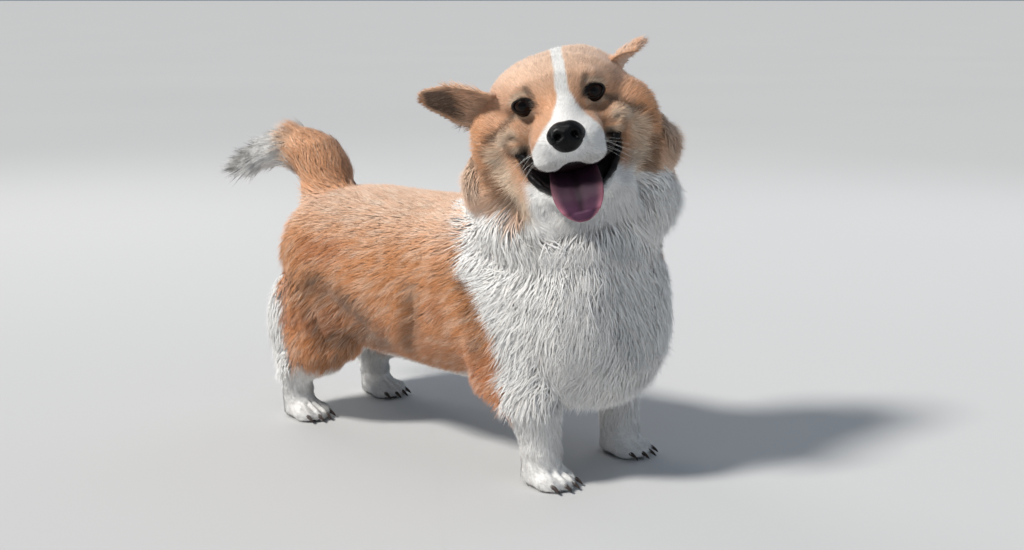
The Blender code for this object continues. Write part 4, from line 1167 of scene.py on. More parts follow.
class Finishes:
    """Every material of the dog and its floor."""

    def __init__(self) -> None:
        """Makes the materials once."""
        self.coat = self.tinted("coat_hair", 0.62, 0.22, 0.25, (900.0, 0.1, 0.0))
        self.skin = self.tinted("coat_base", 0.8, 0.15, 0.1, (420.0, 0.22, 0.5))
        self.ear = self.tinted("ear_skin", 0.7, 0.2, 0.2, (520.0, 0.16, 0.4))
        self.nose = self.leather("nose_leather", (3, 3, 4), 0.3, 1500.0, 0.45, coat=0.08)
        self.lip = self.leather("lip_skin", (8, 6, 7), 0.42, 900.0, 0.3, coat=0.05)
        self.lid = self.leather("lid_skin", (12, 9, 9), 0.5, 1100.0, 0.25, coat=0.03)
        self.mouth = self.leather("mouth_lining", (24, 10, 14), 0.45, 300.0, 0.5, coat=0.08)
        self.tongue = self.tinted("tongue_flesh", 0.46, 0.25, 0.0, (1500.0, 0.1, 0.45), coat=0.1)
        self.eye = self.tinted("eye_glaze", 0.1, 0.08, 0.0, (300.0, 0.08, 0.0), coat=0.18)
        self.claw = self.leather("claw_horn", (64, 54, 50), 0.38, 260.0, 0.25, coat=0.1)
        self.whisker = self.leather("whisker_hair", (236, 232, 226), 0.45, 200.0, 0.05, coat=0.0)
        self.floor = self.leather("pale_floor", (194, 194, 194), 0.85, 6.0, 0.0, coat=0.0, vary=0.02)

    @staticmethod
    def blank(name: str) -> tuple[Finish, bpy.types.NodeTree, bpy.types.ShaderNode]:
        """A new material with its node tree and shader."""
        made = bpy.data.materials.new(name)
        made.use_nodes = True
        tree = made.node_tree
        return made, tree, tree.nodes["Principled BSDF"]

    @staticmethod
    def noise(tree: bpy.types.NodeTree, scale: float, detail: float = 3.0) -> bpy.types.ShaderNode:
        """A noise texture on object coordinates."""
        where = tree.nodes.new("ShaderNodeTexCoord")
        made = tree.nodes.new("ShaderNodeTexNoise")
        made.inputs["Scale"].default_value = scale
        made.inputs["Detail"].default_value = detail
        tree.links.new(where.outputs["Object"], made.inputs["Vector"])
        return made

    @staticmethod
    def bump(
        tree: bpy.types.NodeTree, height: bpy.types.NodeSocket, strength: float, distance: float
    ) -> None:
        """Feeds a height into the shader's normal."""
        made = tree.nodes.new("ShaderNodeBump")
        made.inputs["Strength"].default_value = strength
        made.inputs["Distance"].default_value = distance
        tree.links.new(height, made.inputs["Height"])
        tree.links.new(made.outputs["Normal"], tree.nodes["Principled BSDF"].inputs["Normal"])

    def tinted(
        self, name: str, roughness: float, specular: float, sheen: float, grain: Triple,
        coat: float = 0.0,
    ) -> Finish:
        """A material whose colour comes from the tint that a piece carries, varied by fine noise.

        Args:
            name: The material's name.
            roughness: Roughness of its gloss.
            specular: Strength of its gloss.
            sheen: Strength of its sheen.
            grain: Scale of the noise, its part in the colour, and its part in the relief.
            coat: Strength of the clear wet film on it.

        Returns:
            The material.
        """
        made, tree, shader = self.blank(name)
        shader.inputs["Roughness"].default_value = roughness
        shader.inputs["Specular IOR Level"].default_value = specular
        shader.inputs["Sheen Weight"].default_value = sheen
        shader.inputs["Sheen Roughness"].default_value = 0.5
        shader.inputs["Coat Weight"].default_value = coat
        shader.inputs["Coat Roughness"].default_value = 0.04
        tint = tree.nodes.new("ShaderNodeAttribute")
        tint.attribute_name = "coat_tint"
        scale, share, relief = grain
        noise = self.noise(tree, scale)
        vary = tree.nodes.new("ShaderNodeMapRange")
        vary.inputs["To Min"].default_value = 1.0 - share * 1.6
        vary.inputs["To Max"].default_value = 1.0 + share
        tree.links.new(noise.outputs["Fac"], vary.inputs["Value"])
        scaled = tree.nodes.new("ShaderNodeVectorMath")
        scaled.operation = "SCALE"
        tree.links.new(tint.outputs["Color"], scaled.inputs["Vector"])
        tree.links.new(vary.outputs["Result"], scaled.inputs["Scale"])
        tree.links.new(scaled.outputs["Vector"], shader.inputs["Base Color"])
        if relief:
            self.bump(tree, noise.outputs["Fac"], relief, 0.0012)
        return made

    def leather(
        self, name: str, colour: Triple, roughness: float, scale: float, relief: float,
        coat: float, vary: float = 0.28,
    ) -> Finish:
        """A bare skin or horn: one colour that noise varies, with a cell pattern for its relief.

        Args:
            name: The material's name.
            colour: Its display colour, 0 to 255.
            roughness: Roughness of its gloss.
            scale: Scale of the pattern.
            relief: Strength of the relief.
            coat: Strength of the clear wet film on it.
            vary: How much the noise varies the colour.

        Returns:
            The material.
        """
        made, tree, shader = self.blank(name)
        shader.inputs["Specular IOR Level"].default_value = 0.14
        shader.inputs["Coat Weight"].default_value = coat
        shader.inputs["Coat Roughness"].default_value = 0.15
        base = srgb(*colour)
        noise = self.noise(tree, scale * 0.12)
        blend = tree.nodes.new("ShaderNodeMix")
        blend.data_type = "RGBA"
        blend.inputs[6].default_value = (*(base * (1 - vary)), 1)
        blend.inputs[7].default_value = (*np.clip(base * (1 + vary), 0, 1), 1)
        tree.links.new(noise.outputs["Fac"], blend.inputs[0])
        tree.links.new(blend.outputs[2], shader.inputs["Base Color"])
        rough = tree.nodes.new("ShaderNodeMapRange")
        rough.inputs["To Min"].default_value = roughness * 0.8
        rough.inputs["To Max"].default_value = min(roughness * 1.25, 1.0)
        tree.links.new(noise.outputs["Fac"], rough.inputs["Value"])
        tree.links.new(rough.outputs["Result"], shader.inputs["Roughness"])
        cells = tree.nodes.new("ShaderNodeTexVoronoi")
        cells.inputs["Scale"].default_value = scale
        where = tree.nodes.new("ShaderNodeTexCoord")
        tree.links.new(where.outputs["Object"], cells.inputs["Vector"])
        self.bump(tree, cells.outputs["Distance"], relief, 0.0006)
        return made


def set_tint(obj: Piece, colours: Array) -> None:
    """Stores a linear colour for every vertex of an object."""
    layer = obj.data.color_attributes.new("coat_tint", "FLOAT_COLOR", "POINT")
    rows = np.ones((len(obj.data.vertices), 4), np.float32)
    rows[:, :3] = np.clip(colours, 0, 1)
    layer.data.foreach_set("color", rows.ravel())


def vertex_arrays(obj: Piece) -> tuple[Array, Array]:
    """An object's vertices and their normals as arrays."""
    count = len(obj.data.vertices)
    places = np.empty(count * 3, np.float32)
    normals = np.empty(count * 3, np.float32)
    obj.data.vertices.foreach_get("co", places)
    obj.data.vertices.foreach_get("normal", normals)
    return places.reshape(-1, 3).astype(float), normals.reshape(-1, 3).astype(float)


def put_vertices(obj: Piece, places: Array) -> None:
    """Moves an object's vertices to these places."""
    obj.data.vertices.foreach_set("co", places.astype(np.float32).ravel())
    obj.data.update()


def unwrap(obj: Piece) -> None:
    """Unwraps an object by its own shape, for the coat's patches."""
    obj.data.uv_layers.new(name="OFBake")
    bpy.context.view_layer.objects.active = obj
    for other in bpy.context.selected_objects:
        other.select_set(False)
    obj.select_set(True)
    bpy.ops.object.mode_set(mode="EDIT")
    bpy.ops.mesh.select_all(action="SELECT")
    bpy.ops.uv.smart_project(angle_limit=math.radians(66), island_margin=0.002)
    bpy.ops.object.mode_set(mode="OBJECT")
    obj.select_set(False)


PAWS = ((FORE_STANCE, FORE_FOOT_Y, FORE_HALF_WIDE), (HIND_STANCE, HIND_FOOT_Y, HIND_HALF_WIDE))


@dataclass
class Skin:
    """One skin under the coat, from nose to tail tip and down to the soles."""

    voxel: float = 0.0034
    smoothing: int = 6
    puffs: tuple[tuple[Triple, float, float], ...] = (
        ((0.06, -0.011, -0.024), 0.0085, 0.0042), ((0.05, -0.013, -0.04), 0.008, 0.004),
        ((0.03, -0.017, 0.0185), 0.0075, 0.0018), ((0.027, -0.056, -0.05), 0.013, 0.002),
        ((0.038, -0.014, 0.0135), 0.008, 0.003), ((0.038, -0.015, -0.0125), 0.0065, 0.0022),
        ((0.05, -0.006, 0.003), 0.007, 0.002),
    )
    folds: tuple[tuple[tuple[Triple, ...], float, float], ...] = (
        (
            ((0.102, 0.198, 0.184), (0.104, 0.172, 0.165), (0.103, 0.152, 0.144), (0.096, 0.136, 0.11)),
            0.012, -0.0125,
        ),
        (((0.102, 0.148, 0.176), (0.099, 0.12, 0.158), (0.092, 0.085, 0.136)), 0.022, -0.009),
        (((0.106, -0.011, 0.2), (0.102, -0.01, 0.16), (0.096, 0.004, 0.125)), 0.013, -0.0075),
        (((0.107, -0.094, 0.218), (0.107, -0.106, 0.18), (0.108, -0.113, 0.145)), 0.011, -0.005),
        (((0.03, 0.21, 0.275), (0.04, 0.235, 0.262)), 0.01, -0.002),
    )

    def add_trunk(self, bm: Draft) -> None:
        """The barrel of the body."""
        middle, half = (BACK_HEIGHT + BRISKET_HEIGHT) / 2, (BACK_HEIGHT - BRISKET_HEIGHT) / 2
        rows = (
            (-0.246, 0.0, 0.42, 0.48), (-0.234, -0.002, 0.68, 0.74), (-0.208, -0.002, 0.9, 0.94),
            (-0.155, 0.0, 1.0, 1.02), (-0.09, 0.004, 1.01, 1.01), (0.0, 0.002, 0.98, 0.98),
            (0.08, 0.003, 0.95, 0.96), (0.15, 0.008, 0.92, 0.92), (0.205, 0.012, 0.85, 0.84),
            (0.24, 0.016, 0.7, 0.68), (0.258, 0.018, 0.42, 0.42),
        )
        add_loft(bm, [
            ((0, y, middle + up), CHEST_HALF_WIDTH * wide, half * high, 2.3) for y, up, wide, high in rows
        ], sides=28)

    def add_neck(self, bm: Draft) -> None:
        """The neck with its ruff, whose loose part is taken off later."""
        add_loft(bm, (
            ((0.0, -0.11, 0.17), 0.088, 0.08, 2.1), ((0.0, -0.135, 0.22), 0.1, 0.1, 2.1),
            ((0.0, -0.145, 0.262), 0.104, 0.098, 2.1), ((-0.002, -0.14, 0.305), 0.09, 0.082, 2.1),
            ((-0.006, -0.136, 0.345), 0.076, 0.072, 2.1), ((-0.008, -0.134, 0.385), 0.06, 0.06, 2.1),
        ), sides=24)
        add_blob(bm, (0.002, -0.15, 0.302), (0.118, 0.08, 0.08), (0, 0, HEAD_TURN_DEG))

    def add_paw(
        self, bm: Draft, side: Side, stance: float, foot_y: float, half_wide: float
    ) -> None:
        """A foot with four toes in an arc.

        Args:
            bm: Where it is added.
            side: Left or right.
            stance: How far it stands from the middle.
            foot_y: Its place along the dog.
            half_wide: Half its width.
        """
        add_blob(bm, sided((stance, foot_y + 0.006, 0.014), side), (half_wide * 0.92, 0.03, 0.017))
        for toe in range(4):
            spread = (toe - 1.5) / 1.5
            place = (stance + spread * half_wide * 0.66, foot_y - 0.016 + 0.007 * spread ** 2, 0.0113)
            add_blob(bm, sided(place, side), (0.009, 0.0165, 0.0122), (0, 0, -8 * spread * side.value))

    def add_foreleg(self, bm: Draft, side: Side) -> None:
        """A short foreleg with its upper arm."""
        add_blob(bm, sided((0.066, -0.118, 0.165), side), (0.045, 0.06, 0.08), (-12, 0, 0))
        add_blob(bm, sided((0.07, -0.108, 0.112), side), (0.03, 0.034, 0.028))
        rows = (
            ((0.072, -0.135, 0.16), 0.038, 0.044), ((0.074, -0.147, 0.115), 0.034, 0.04),
            ((0.073, -0.158, 0.08), 0.029, 0.031), ((FORE_STANCE, -0.164, 0.05), 0.024, 0.025),
            ((FORE_STANCE, -0.166, 0.026), 0.023, 0.024), ((FORE_STANCE, -0.168, 0.006), 0.022, 0.022),
        )
        add_loft(bm, [(sided(place, side), wide, high, 2.0) for place, wide, high in rows], sides=18)
        self.add_paw(bm, side, *PAWS[0])

    def add_hindleg(self, bm: Draft, side: Side) -> None:
        """A hind leg with its thigh and hock."""
        add_blob(bm, sided((0.058, 0.165, 0.165), side), (0.047, 0.078, 0.092), (14, 0, 0))
        add_blob(bm, sided((0.066, 0.185, 0.118), side), (0.036, 0.062, 0.052))
        rows = (
            ((0.066, 0.15, 0.13), 0.038, 0.044), ((0.068, 0.178, 0.1), 0.034, 0.042),
            ((0.068, 0.208, 0.078), 0.028, 0.032), ((HIND_STANCE, 0.222, 0.056), 0.022, 0.023),
            ((HIND_STANCE, 0.222, 0.034), 0.02, 0.02), ((HIND_STANCE, 0.218, 0.008), 0.021, 0.022),
        )
        add_loft(bm, [(sided(place, side), wide, high, 2.0) for place, wide, high in rows], sides=18)
        add_blob(bm, sided((0.058, 0.232, 0.13), side), (0.036, 0.036, 0.07), (10, 0, 0))
        self.add_paw(bm, side, *PAWS[1])

    def add_skull(self, bm: Draft) -> None:
        """The skull with brows and cheeks."""
        add_loft(bm, (
            ((0, -0.022, -0.01), 0.022, 0.014, 2.1), ((0, -0.012, -0.002), 0.045, 0.03, 2.1),
            ((0, 0.004, 0.003), 0.063, 0.042, 2.2), ((0, 0.028, 0.003), 0.074, 0.048, 2.2),
            ((0, 0.06, 0.0), 0.075, 0.05, 2.2), ((0, 0.088, -0.006), 0.064, 0.046, 2.1),
            ((0, 0.108, -0.012), 0.038, 0.032, 2.0),
        ), HEAD_FRAME, 24)
        for side in Side:
            lean = -14 * side.value
            for middle, radii, turn in (
                ((0.03, -0.01, 0.0195), (0.016, 0.0085, 0.0075), (0, 0, 16 * side.value)),
                ((0.05, 0.006, -0.03), (0.022, 0.024, 0.021), (0, 0, 0)),
                ((0.066, 0.034, -0.034), (0.036, 0.04, 0.048), (0, lean, 0)),
                ((0.068, 0.044, -0.068), (0.046, 0.04, 0.046), (0, lean, 0)),
            ):
                add_blob(bm, sided(middle, side), radii, turn, HEAD_FRAME)
        add_blob(bm, (0, 0.052, -0.085), (0.07, 0.046, 0.046), (0, 0, 0), HEAD_FRAME)

    def add_muzzle(self, bm: Draft) -> None:
        """Muzzle, bridge of the nose and lower jaw."""
        add_loft(bm, (
            ((0, -0.083, -0.0465), 0.022, 0.012, 2.4), ((0, -0.076, -0.045), 0.03, 0.0175, 2.4),
            ((0, -0.06, -0.043), 0.036, 0.02, 2.5), ((0, -0.04, -0.0395), 0.0375, 0.021, 2.5),
            ((0, -0.018, -0.035), 0.041, 0.0215, 2.4), ((0, 0.004, -0.033), 0.047, 0.023, 2.3),
            ((0, 0.03, -0.028), 0.05, 0.03, 2.1),
        ), HEAD_FRAME, 22)
        for side in Side:
            lobe = sided((0.0195, -0.064, -0.056), side)
            add_blob(bm, lobe, (0.0165, 0.0165, 0.0125), frame=HEAD_FRAME)
        add_loft(bm, (
            ((0, -0.078, -0.037), 0.015, 0.01, 2.0), ((0, -0.056, -0.029), 0.018, 0.012, 2.0),
            ((0, -0.032, -0.02), 0.02, 0.015, 2.0), ((0, -0.012, -0.008), 0.023, 0.02, 2.0),
            ((0, 0.012, 0.004), 0.03, 0.03, 2.0),
        ), HEAD_FRAME, 16)
        add_loft(bm, (
            ((0, -0.066, -0.1), 0.014, 0.008, 2.2), ((0, -0.057, -0.099), 0.024, 0.0125, 2.2),
            ((0, -0.04, -0.0945), 0.033, 0.015, 2.2), ((0, -0.018, -0.087), 0.042, 0.0175, 2.2),
            ((0, 0.004, -0.078), 0.047, 0.02, 2.2), ((0, 0.026, -0.07), 0.047, 0.022, 2.2),
        ), HEAD_FRAME, 18)

    def sculpt(self, obj: Piece, coat: CoatMap) -> None:
        """Sinks the skin by the depth of the coat, then shapes the folds of face, flank, elbow and toes.

        Args:
            obj: The skin, whose vertices move.
            coat: How deep the coat is.
        """
        places, normals = vertex_arrays(obj)
        put_vertices(obj, places - normals * coat.depth(places)[:, None])
        for _ in range(3):
            bm = bmesh.new()
            bm.from_mesh(obj.data)
            soften(bm, bm.verts[:], 0.5)
            bm.to_mesh(obj.data)
            bm.free()
        places, normals = vertex_arrays(obj)
        head = to_head(places)
        mirrored = folded(head)
        push = 0.0045 * np.exp(-np.sum((head - (0.036, 0.045, 0.047)) ** 2, axis=1) / 0.028 ** 2)
        for middle, radius, amount in self.puffs:
            push += amount * np.exp(-np.sum((mirrored - middle) ** 2, axis=1) / radius ** 2)
        for line, radius, amount in FACE_CREASES:
            push += amount * np.exp(-(to_line(mirrored, line) / radius) ** 2)
        body = folded(places)
        for line, radius, amount in self.folds:
            push += amount * np.exp(-(to_line(body, line) / radius) ** 2)
        for stance, foot_y, half_wide in PAWS:
            for toe in (-0.667, 0.0, 0.667):
                off = toe * half_wide * 0.66
                cleft = (
                    (stance + off * 1.1, foot_y - 0.034, 0.006), (stance + off, foot_y - 0.028, 0.018),
                    (stance + off * 0.8, foot_y - 0.008, 0.026),
                )
                push -= 0.0036 * np.exp(-(to_line(body, cleft) / 0.003) ** 2)
        places = places + normals * push[:, None]
        places[:, 2] = np.maximum(places[:, 2], SOLE_HEIGHT + FLOOR_GAP)
        put_vertices(obj, places)

    def refine(self, obj: Piece) -> None:
        """Splits the faces round eyes, nose, mouth and toes, where the forms are finest."""
        bm = bmesh.new()
        bm.from_mesh(obj.data)
        inverse = HEAD_FRAME.inverted()
        near = set()
        for vert in bm.verts:
            place = inverse @ vert.co
            face = abs(place.x) < 0.078 and place.y < 0.012 and -0.112 < place.z < 0.036
            toes = vert.co.z < 0.034 and (vert.co.y < FORE_FOOT_Y or 0.0 < vert.co.y < HIND_FOOT_Y)
            if face or toes:
                near.add(vert)
        edges = [edge for edge in bm.edges if edge.verts[0] in near and edge.verts[1] in near]
        bmesh.ops.subdivide_edges(bm, edges=edges, cuts=1, use_grid_fill=True)
        bmesh.ops.triangulate(bm, faces=[face for face in bm.faces if len(face.verts) > 4])
        for _ in range(2):
            verts = [vert for vert in bm.verts if (inverse @ vert.co).y < 0.012]
            soften(bm, verts, 0.4)
        bm.to_mesh(obj.data)
        bm.free()

    def build(self, coat: CoatMap, markings: Markings, finish: Finish) -> Piece:
        """Builds the whole skin in the dog's frame.

        Args:
            coat: Where the coat grows and how deep.
            markings: Colours of the skin.
            finish: Its material.

        Returns:
            The skin, not yet moved into the frame of the solids.
        """
        bm = bmesh.new()
        self.add_trunk(bm)
        self.add_neck(bm)
        add_loft(bm, [(place, size, size, 2.0) for place, size in TAIL_PATH], sides=16)
        for side in Side:
            self.add_foreleg(bm, side)
            self.add_hindleg(bm, side)
        self.add_skull(bm)
        self.add_muzzle(bm)
        skin = object_of(bm, "skin")
        remesh = skin.modifiers.new("one_skin", "REMESH")
        remesh.mode = "VOXEL"
        remesh.voxel_size = self.voxel
        smooth = skin.modifiers.new("soften", "SMOOTH")
        smooth.factor = 0.5
        smooth.iterations = self.smoothing
        settle(skin)
        self.refine(skin)
        self.sculpt(skin, coat)
        unwrap(skin)
        skin.data.shade_smooth()
        places, normals = vertex_arrays(skin)
        seen = places + normals * coat.depth(places)[:, None]
        # The skin takes the coat's colours darkened by the painted shade between the tufts.
        set_tint(skin, markings.colour(seen, normals) * SKIN_PAINTED_SHADE)
        skin.data.materials.clear()
        skin.data.materials.append(finish)
        return skin


@dataclass
class Eye:
    """An eye with its iris and the dark rims of its lids."""

    side: Side
    half_wide: float = 0.009
    upper: float = 0.0058
    lower: float = 0.006
    tilt_deg: float = 8.0

    def frame(self) -> Matrix:
        """Place of the eye, with the way that it looks along -Y."""
        middle = Vector((EYE_HALF_SPACING * self.side.value, EYE_DEPTH, 0.0))
        turn = Matrix.Rotation(math.radians(5 * self.side.value), 4, "Z")
        tilt = Matrix.Rotation(math.radians(-self.tilt_deg * self.side.value), 4, "Y")
        return HEAD_FRAME @ Matrix.Translation(middle) @ turn @ tilt

    def build_ball(self, finish: Finish) -> Piece:
        """The eyeball, with pupil and iris in its tint."""
        bm = bmesh.new()
        turn = Matrix.Rotation(math.radians(90), 4, "X")
        bmesh.ops.create_uvsphere(bm, u_segments=48, v_segments=32, radius=EYE_RADIUS, matrix=turn)
        ball = object_of(bm, "eyeball_" + self.side.word)
        places, _ = vertex_arrays(ball)
        away = np.hypot(places[:, 0], places[:, 2]) / EYE_RADIUS
        away = np.where(places[:, 1] > 0, 1.0, away)
        rays = np.stack((np.arctan2(places[:, 2], places[:, 0]), away, away), axis=1)
        streak = 0.75 + 0.5 * lattice_noise(rays, 0.2, 5)
        iris = srgb(34, 19, 12)[None] * streak[:, None]
        tint = mix(np.repeat(srgb(5, 4, 4)[None], len(places), axis=0), iris, ramp(away, 0.34, 0.44))
        tint = mix(tint, srgb(12, 9, 9), ramp(away, 0.66, 0.76))
        tint = mix(tint, srgb(34, 25, 23), ramp(away, 0.93, 0.99))
        set_tint(ball, tint)
        ball.data.transform(self.frame())
        ball.data.materials.append(finish)
        return ball

    def build_lids(self, finish: Finish) -> Piece:
        """The rims of both lids: a soft roll round the opening that ends under the skin."""
        bm = bmesh.new()
        layer = bm.verts.layers.float.new("angle")
        ring = bmesh.ops.create_circle(bm, cap_ends=False, segments=40, radius=1.0)["verts"]
        for vert in ring:
            vert[layer] = math.atan2(vert.co.y, vert.co.x)
        edges = list(bm.edges)
        rows = (
            (1.0, 0.0001), (1.04, 0.0009), (1.1, 0.001), (1.17, 0.0002), (1.28, -0.0022), (1.44, -0.006),
        )
        for index, (scale, proud) in enumerate(rows):
            if index:
                ring, edges = next_ring(bm, edges)
            for vert in ring:
                angle = vert[layer]
                high = self.upper if math.sin(angle) > 0 else self.lower
                x = self.half_wide * math.cos(angle) * scale
                z = high * math.copysign(abs(math.sin(angle)) ** 0.9, math.sin(angle)) * scale
                inner = max(-math.cos(angle) * self.side.value, 0) ** 8
                x -= self.side.value * 0.0014 * inner
                z -= 0.0016 * inner
                rim = (x * x + z * z) / scale ** 2
                vert.co = (x, -math.sqrt(max(EYE_RADIUS ** 2 - rim, 1e-8)) - proud, z)
        bmesh.ops.recalc_face_normals(bm, faces=bm.faces)
        bmesh.ops.solidify(bm, geom=bm.faces[:], thickness=0.0009)
        bmesh.ops.transform(bm, matrix=self.frame(), verts=bm.verts)
        return dressed(bm, "lids_" + self.side.word, finish)


@dataclass
class Nose:
    """The nose pad, with nostrils and the groove below them."""

    half_wide: float = 0.0192
    half_high: float = 0.0158
    half_deep: float = 0.0135

    def build(self, finish: Finish) -> Piece:
        """Builds the pad in the head's frame and moves it into the dog's."""
        bm = bmesh.new()
        bmesh.ops.create_icosphere(bm, subdivisions=5, radius=1.0)
        nose = object_of(bm, "nose_pad")
        ball, _ = vertex_arrays(nose)
        x, y, z = ball.T
        power = 0.86
        x = np.sign(x) * np.abs(x) ** power
        z = np.sign(z) * np.abs(z) ** power
        wide = self.half_wide * (1.0 - 0.2 * ramp(z, 0.0, -0.9) - 0.12 * ramp(z, 0.2, 1.0))
        px, py, pz = x * wide, y * self.half_deep, z * self.half_high
        side = np.abs(px)
        front = ramp(-y, 0.0, 0.4)
        wing = np.exp(-((side - 0.0135) / 0.0045) ** 2 - ((pz + 0.001) / 0.0065) ** 2)
        py -= wing * 0.0022 * front
        slit = to_line(np.stack((side, pz), axis=1), ((0.008, 0.0005), (0.01, -0.004), (0.015, -0.0062)))
        hole = np.exp(-(np.hypot(side - 0.0082, (pz - 0.0002) * 1.1) / 0.0034) ** 2)
        py += (hole * 0.0052 + np.exp(-(slit / 0.0016) ** 2) * 0.0026) * front
        groove = np.exp(-(px / 0.0013) ** 2) * ramp(pz, 0.004, -0.004)
        py += groove * 0.0016 * front
        top = np.exp(-(px / 0.006) ** 2) * ramp(pz, 0.004, 0.012)
        pz -= top * 0.001
        put_vertices(nose, np.stack((px, py, pz), axis=1))
        lean = Matrix.Rotation(math.radians(-8), 4, "X")
        centre = NOSE_TIP + Vector((0, self.half_deep - 0.0005, 0.0012))
        nose.data.transform(HEAD_FRAME @ Matrix.Translation(centre) @ lean)
        nose.data.materials.append(finish)
        return nose


@dataclass
class Mouth:
    """Lips, the lining behind them, the tongue and the whiskers."""

    lip_radius: float = 0.0026
    tongue_path: tuple[tuple[Triple, float], ...] = (
        ((0, 0.004, -0.06), 0.019), ((0, -0.02, -0.065), 0.0215), ((0, -0.044, -0.0745), 0.024),
        ((0, -0.062, -0.086), 0.0256), ((0, -0.0735, -0.097), 0.0248), ((0, -0.0765, -0.107), 0.0208),
        ((0, -0.0768, -0.114), 0.0158), ((0, -0.0766, -0.1185), 0.0102), ((0, -0.0764, -0.1205), 0.0046),
    )

    def build_lip(
        self, name: str, half: Sequence[Triple], finish: Finish
    ) -> Piece:
        """One lip as a soft roll from corner to corner.

        Args:
            name: The piece's name.
            half: Its left half, from the middle out.
            finish: Its material.

        Returns:
            The lip in the dog's frame.
        """
        left = [Vector(point) for point in half]
        if name == "upper_lip":
            for point in left:
                hidden = 1 - float(ramp(np.array(point.x), 0.024, 0.036))
                point += Vector((0, 0.0065, 0.0016)) * hidden
        whole = [Vector((-point.x, point.y, point.z)) for point in reversed(left[1:])] + left
        path = smooth_path(whole, 5)
        bm = bmesh.new()
        stations = []
        for index, point in enumerate(path):
            end = min(index, len(path) - 1 - index) / 4
            wave = 1 + 0.14 * math.sin(index * 1.9) + 0.1 * math.sin(index * 0.7)
            heavy = 0.5 + 1.15 * ramp(abs(point.x), 0.018, 0.042)
            size = self.lip_radius * min(0.45 + 0.55 * end, 1.0) * wave * heavy
            stations.append((tuple(point), size * 0.9, size * 1.05, 2.0))
        add_loft(bm, stations, HEAD_FRAME, 10)
        return dressed(bm, name, finish)

    def build_lining(self, finish: Finish) -> Piece:
        """The dark inside of the mouth behind the tongue."""
        bm = bmesh.new()
        add_loft(bm, (
            ((0, -0.056, -0.064), 0.027, 0.005, 2.2), ((0, -0.04, -0.065), 0.031, 0.008, 2.2),
            ((0, -0.02, -0.064), 0.036, 0.012, 2.2), ((0, 0.0, -0.063), 0.042, 0.014, 2.2),
            ((0, 0.016, -0.062), 0.038, 0.012, 2.2),
        ), HEAD_FRAME, 24)
        return dressed(bm, "mouth_lining", finish)

    def build_tongue(self, finish: Finish) -> Piece:
        """The tongue, hanging over the lower lip with its edges curled up and a groove along it; its tint
        holds painted light on the edges and painted shade in the groove and towards the root.
        """
        centres = smooth_path([place for place, _ in self.tongue_path], 6)
        widths = smooth_path([(wide, 0, 0) for _, wide in self.tongue_path], 6)
        stations = [(tuple(place), wide.x, 0.003, 2.5) for place, wide in zip(centres, widths)]
        bm = bmesh.new()
        add_loft(bm, stations, Matrix.Identity(4), 40)
        tongue = object_of(bm, "tongue_flesh")
        places, normals = vertex_arrays(tongue)
        path = np.array([tuple(place) for place in centres])
        near = np.argmin(np.linalg.norm(places[:, None, 1:] - path[None, :, 1:], axis=2), axis=1)
        wide = np.array([w.x for w in widths])[near]
        along = unit(np.gradient(path, axis=0))[near]
        upward = np.stack((np.zeros(len(along)), along[:, 2], -along[:, 1]), axis=1)
        upward = upward * np.where(upward[:, 2:] < 0, -1, 1)
        share = np.clip(places[:, 0] / wide, -1, 1)
        top = (np.sum(normals * upward, axis=1) > 0.2)
        groove = np.exp(-(places[:, 0] / 0.0022) ** 2)
        curl = 0.0032 * share ** 2 - 0.0011
        run = near / (len(path) - 1)
        lift = curl * (1 - ramp(run, 0.8, 1.0)) - groove * 0.0018 * top * (1 - ramp(run, 0.6, 0.95))
        wave = 0.0006 * np.sin(run * 31) * share ** 2
        put_vertices(tongue, places + upward * (lift + wave)[:, None])
        # A dark purple base: partly the tongue's own colour, partly painted shade.
        base = np.repeat(srgb(84, 46, 72)[None], len(places), axis=0)
        # Painted light: paler pink along the edges, where light falls on them.
        base = mix(base, srgb(206, 132, 150), ramp(np.abs(share), 0.66, 1.0) * 0.85)
        base = mix(base, srgb(178, 104, 124), ramp(run, 0.84, 0.99) * 0.6)
        # Painted shade in the groove along the top.
        base = mix(base, srgb(44, 20, 34), groove * top * (1 - ramp(run, 0.55, 0.85)))
        # Painted shade: darker towards the root, inside the mouth under the upper lip.
        base = mix(base, srgb(34, 16, 28), (1 - ramp(run, 0.34, 0.76)) * 0.88)
        set_tint(tongue, base)
        tongue.data.transform(HEAD_FRAME)
        tongue.data.materials.append(finish)
        return tongue

    def build_whiskers(self, finish: Finish) -> Piece:
        """Whiskers on both sides of the muzzle and over the eyes."""
        rng = np.random.default_rng(WHISKER_SEED)
        bm = bmesh.new()
        for side in Side:
            for row in range(2):
                for step in range(4):
                    jitter = Vector((0, rng.uniform(-0.003, 0.003), rng.uniform(-0.002, 0.002)))
                    root = Vector((0.03 + 0.0016 * step, -0.064 + 0.0095 * step, -0.047 - 0.0052 * row))
                    root += jitter
                    out = Vector((1.0, 0.1 + 0.16 * step, -0.35 - 0.25 * row + rng.uniform(-0.25, 0.25)))
                    self.add_whisker(bm, root, out, 0.022 + 0.026 * rng.random(), side, rng)
            for step in range(3):
                root = Vector((0.03 + 0.003 * step, -0.0185, 0.0185))
                self.add_whisker(bm, root, Vector((0.35 + 0.2 * step, -0.55, 0.9)), 0.015, side, rng)
        return dressed(bm, "whiskers", finish)

    @staticmethod
    def add_whisker(
        bm: Draft, root: Vector, out: Vector, length: float, side: Side, rng: np.random.Generator
    ) -> None:
        """One tapering whisker that bends downwards."""
        out = out.normalized()
        sag = Vector((0, 0.3, -1.0)) * length * rng.uniform(0.1, 0.3)
        stations = []
        for step in range(6):
            share = step / 5
            place = root + out * length * (share - 0.12) + sag * share ** 2
            size = 0.00013 * (1 - 0.75 * share)
            stations.append((tuple(sided(place, side)), size, size, 2.0))
        add_loft(bm, stations, HEAD_FRAME, 5)


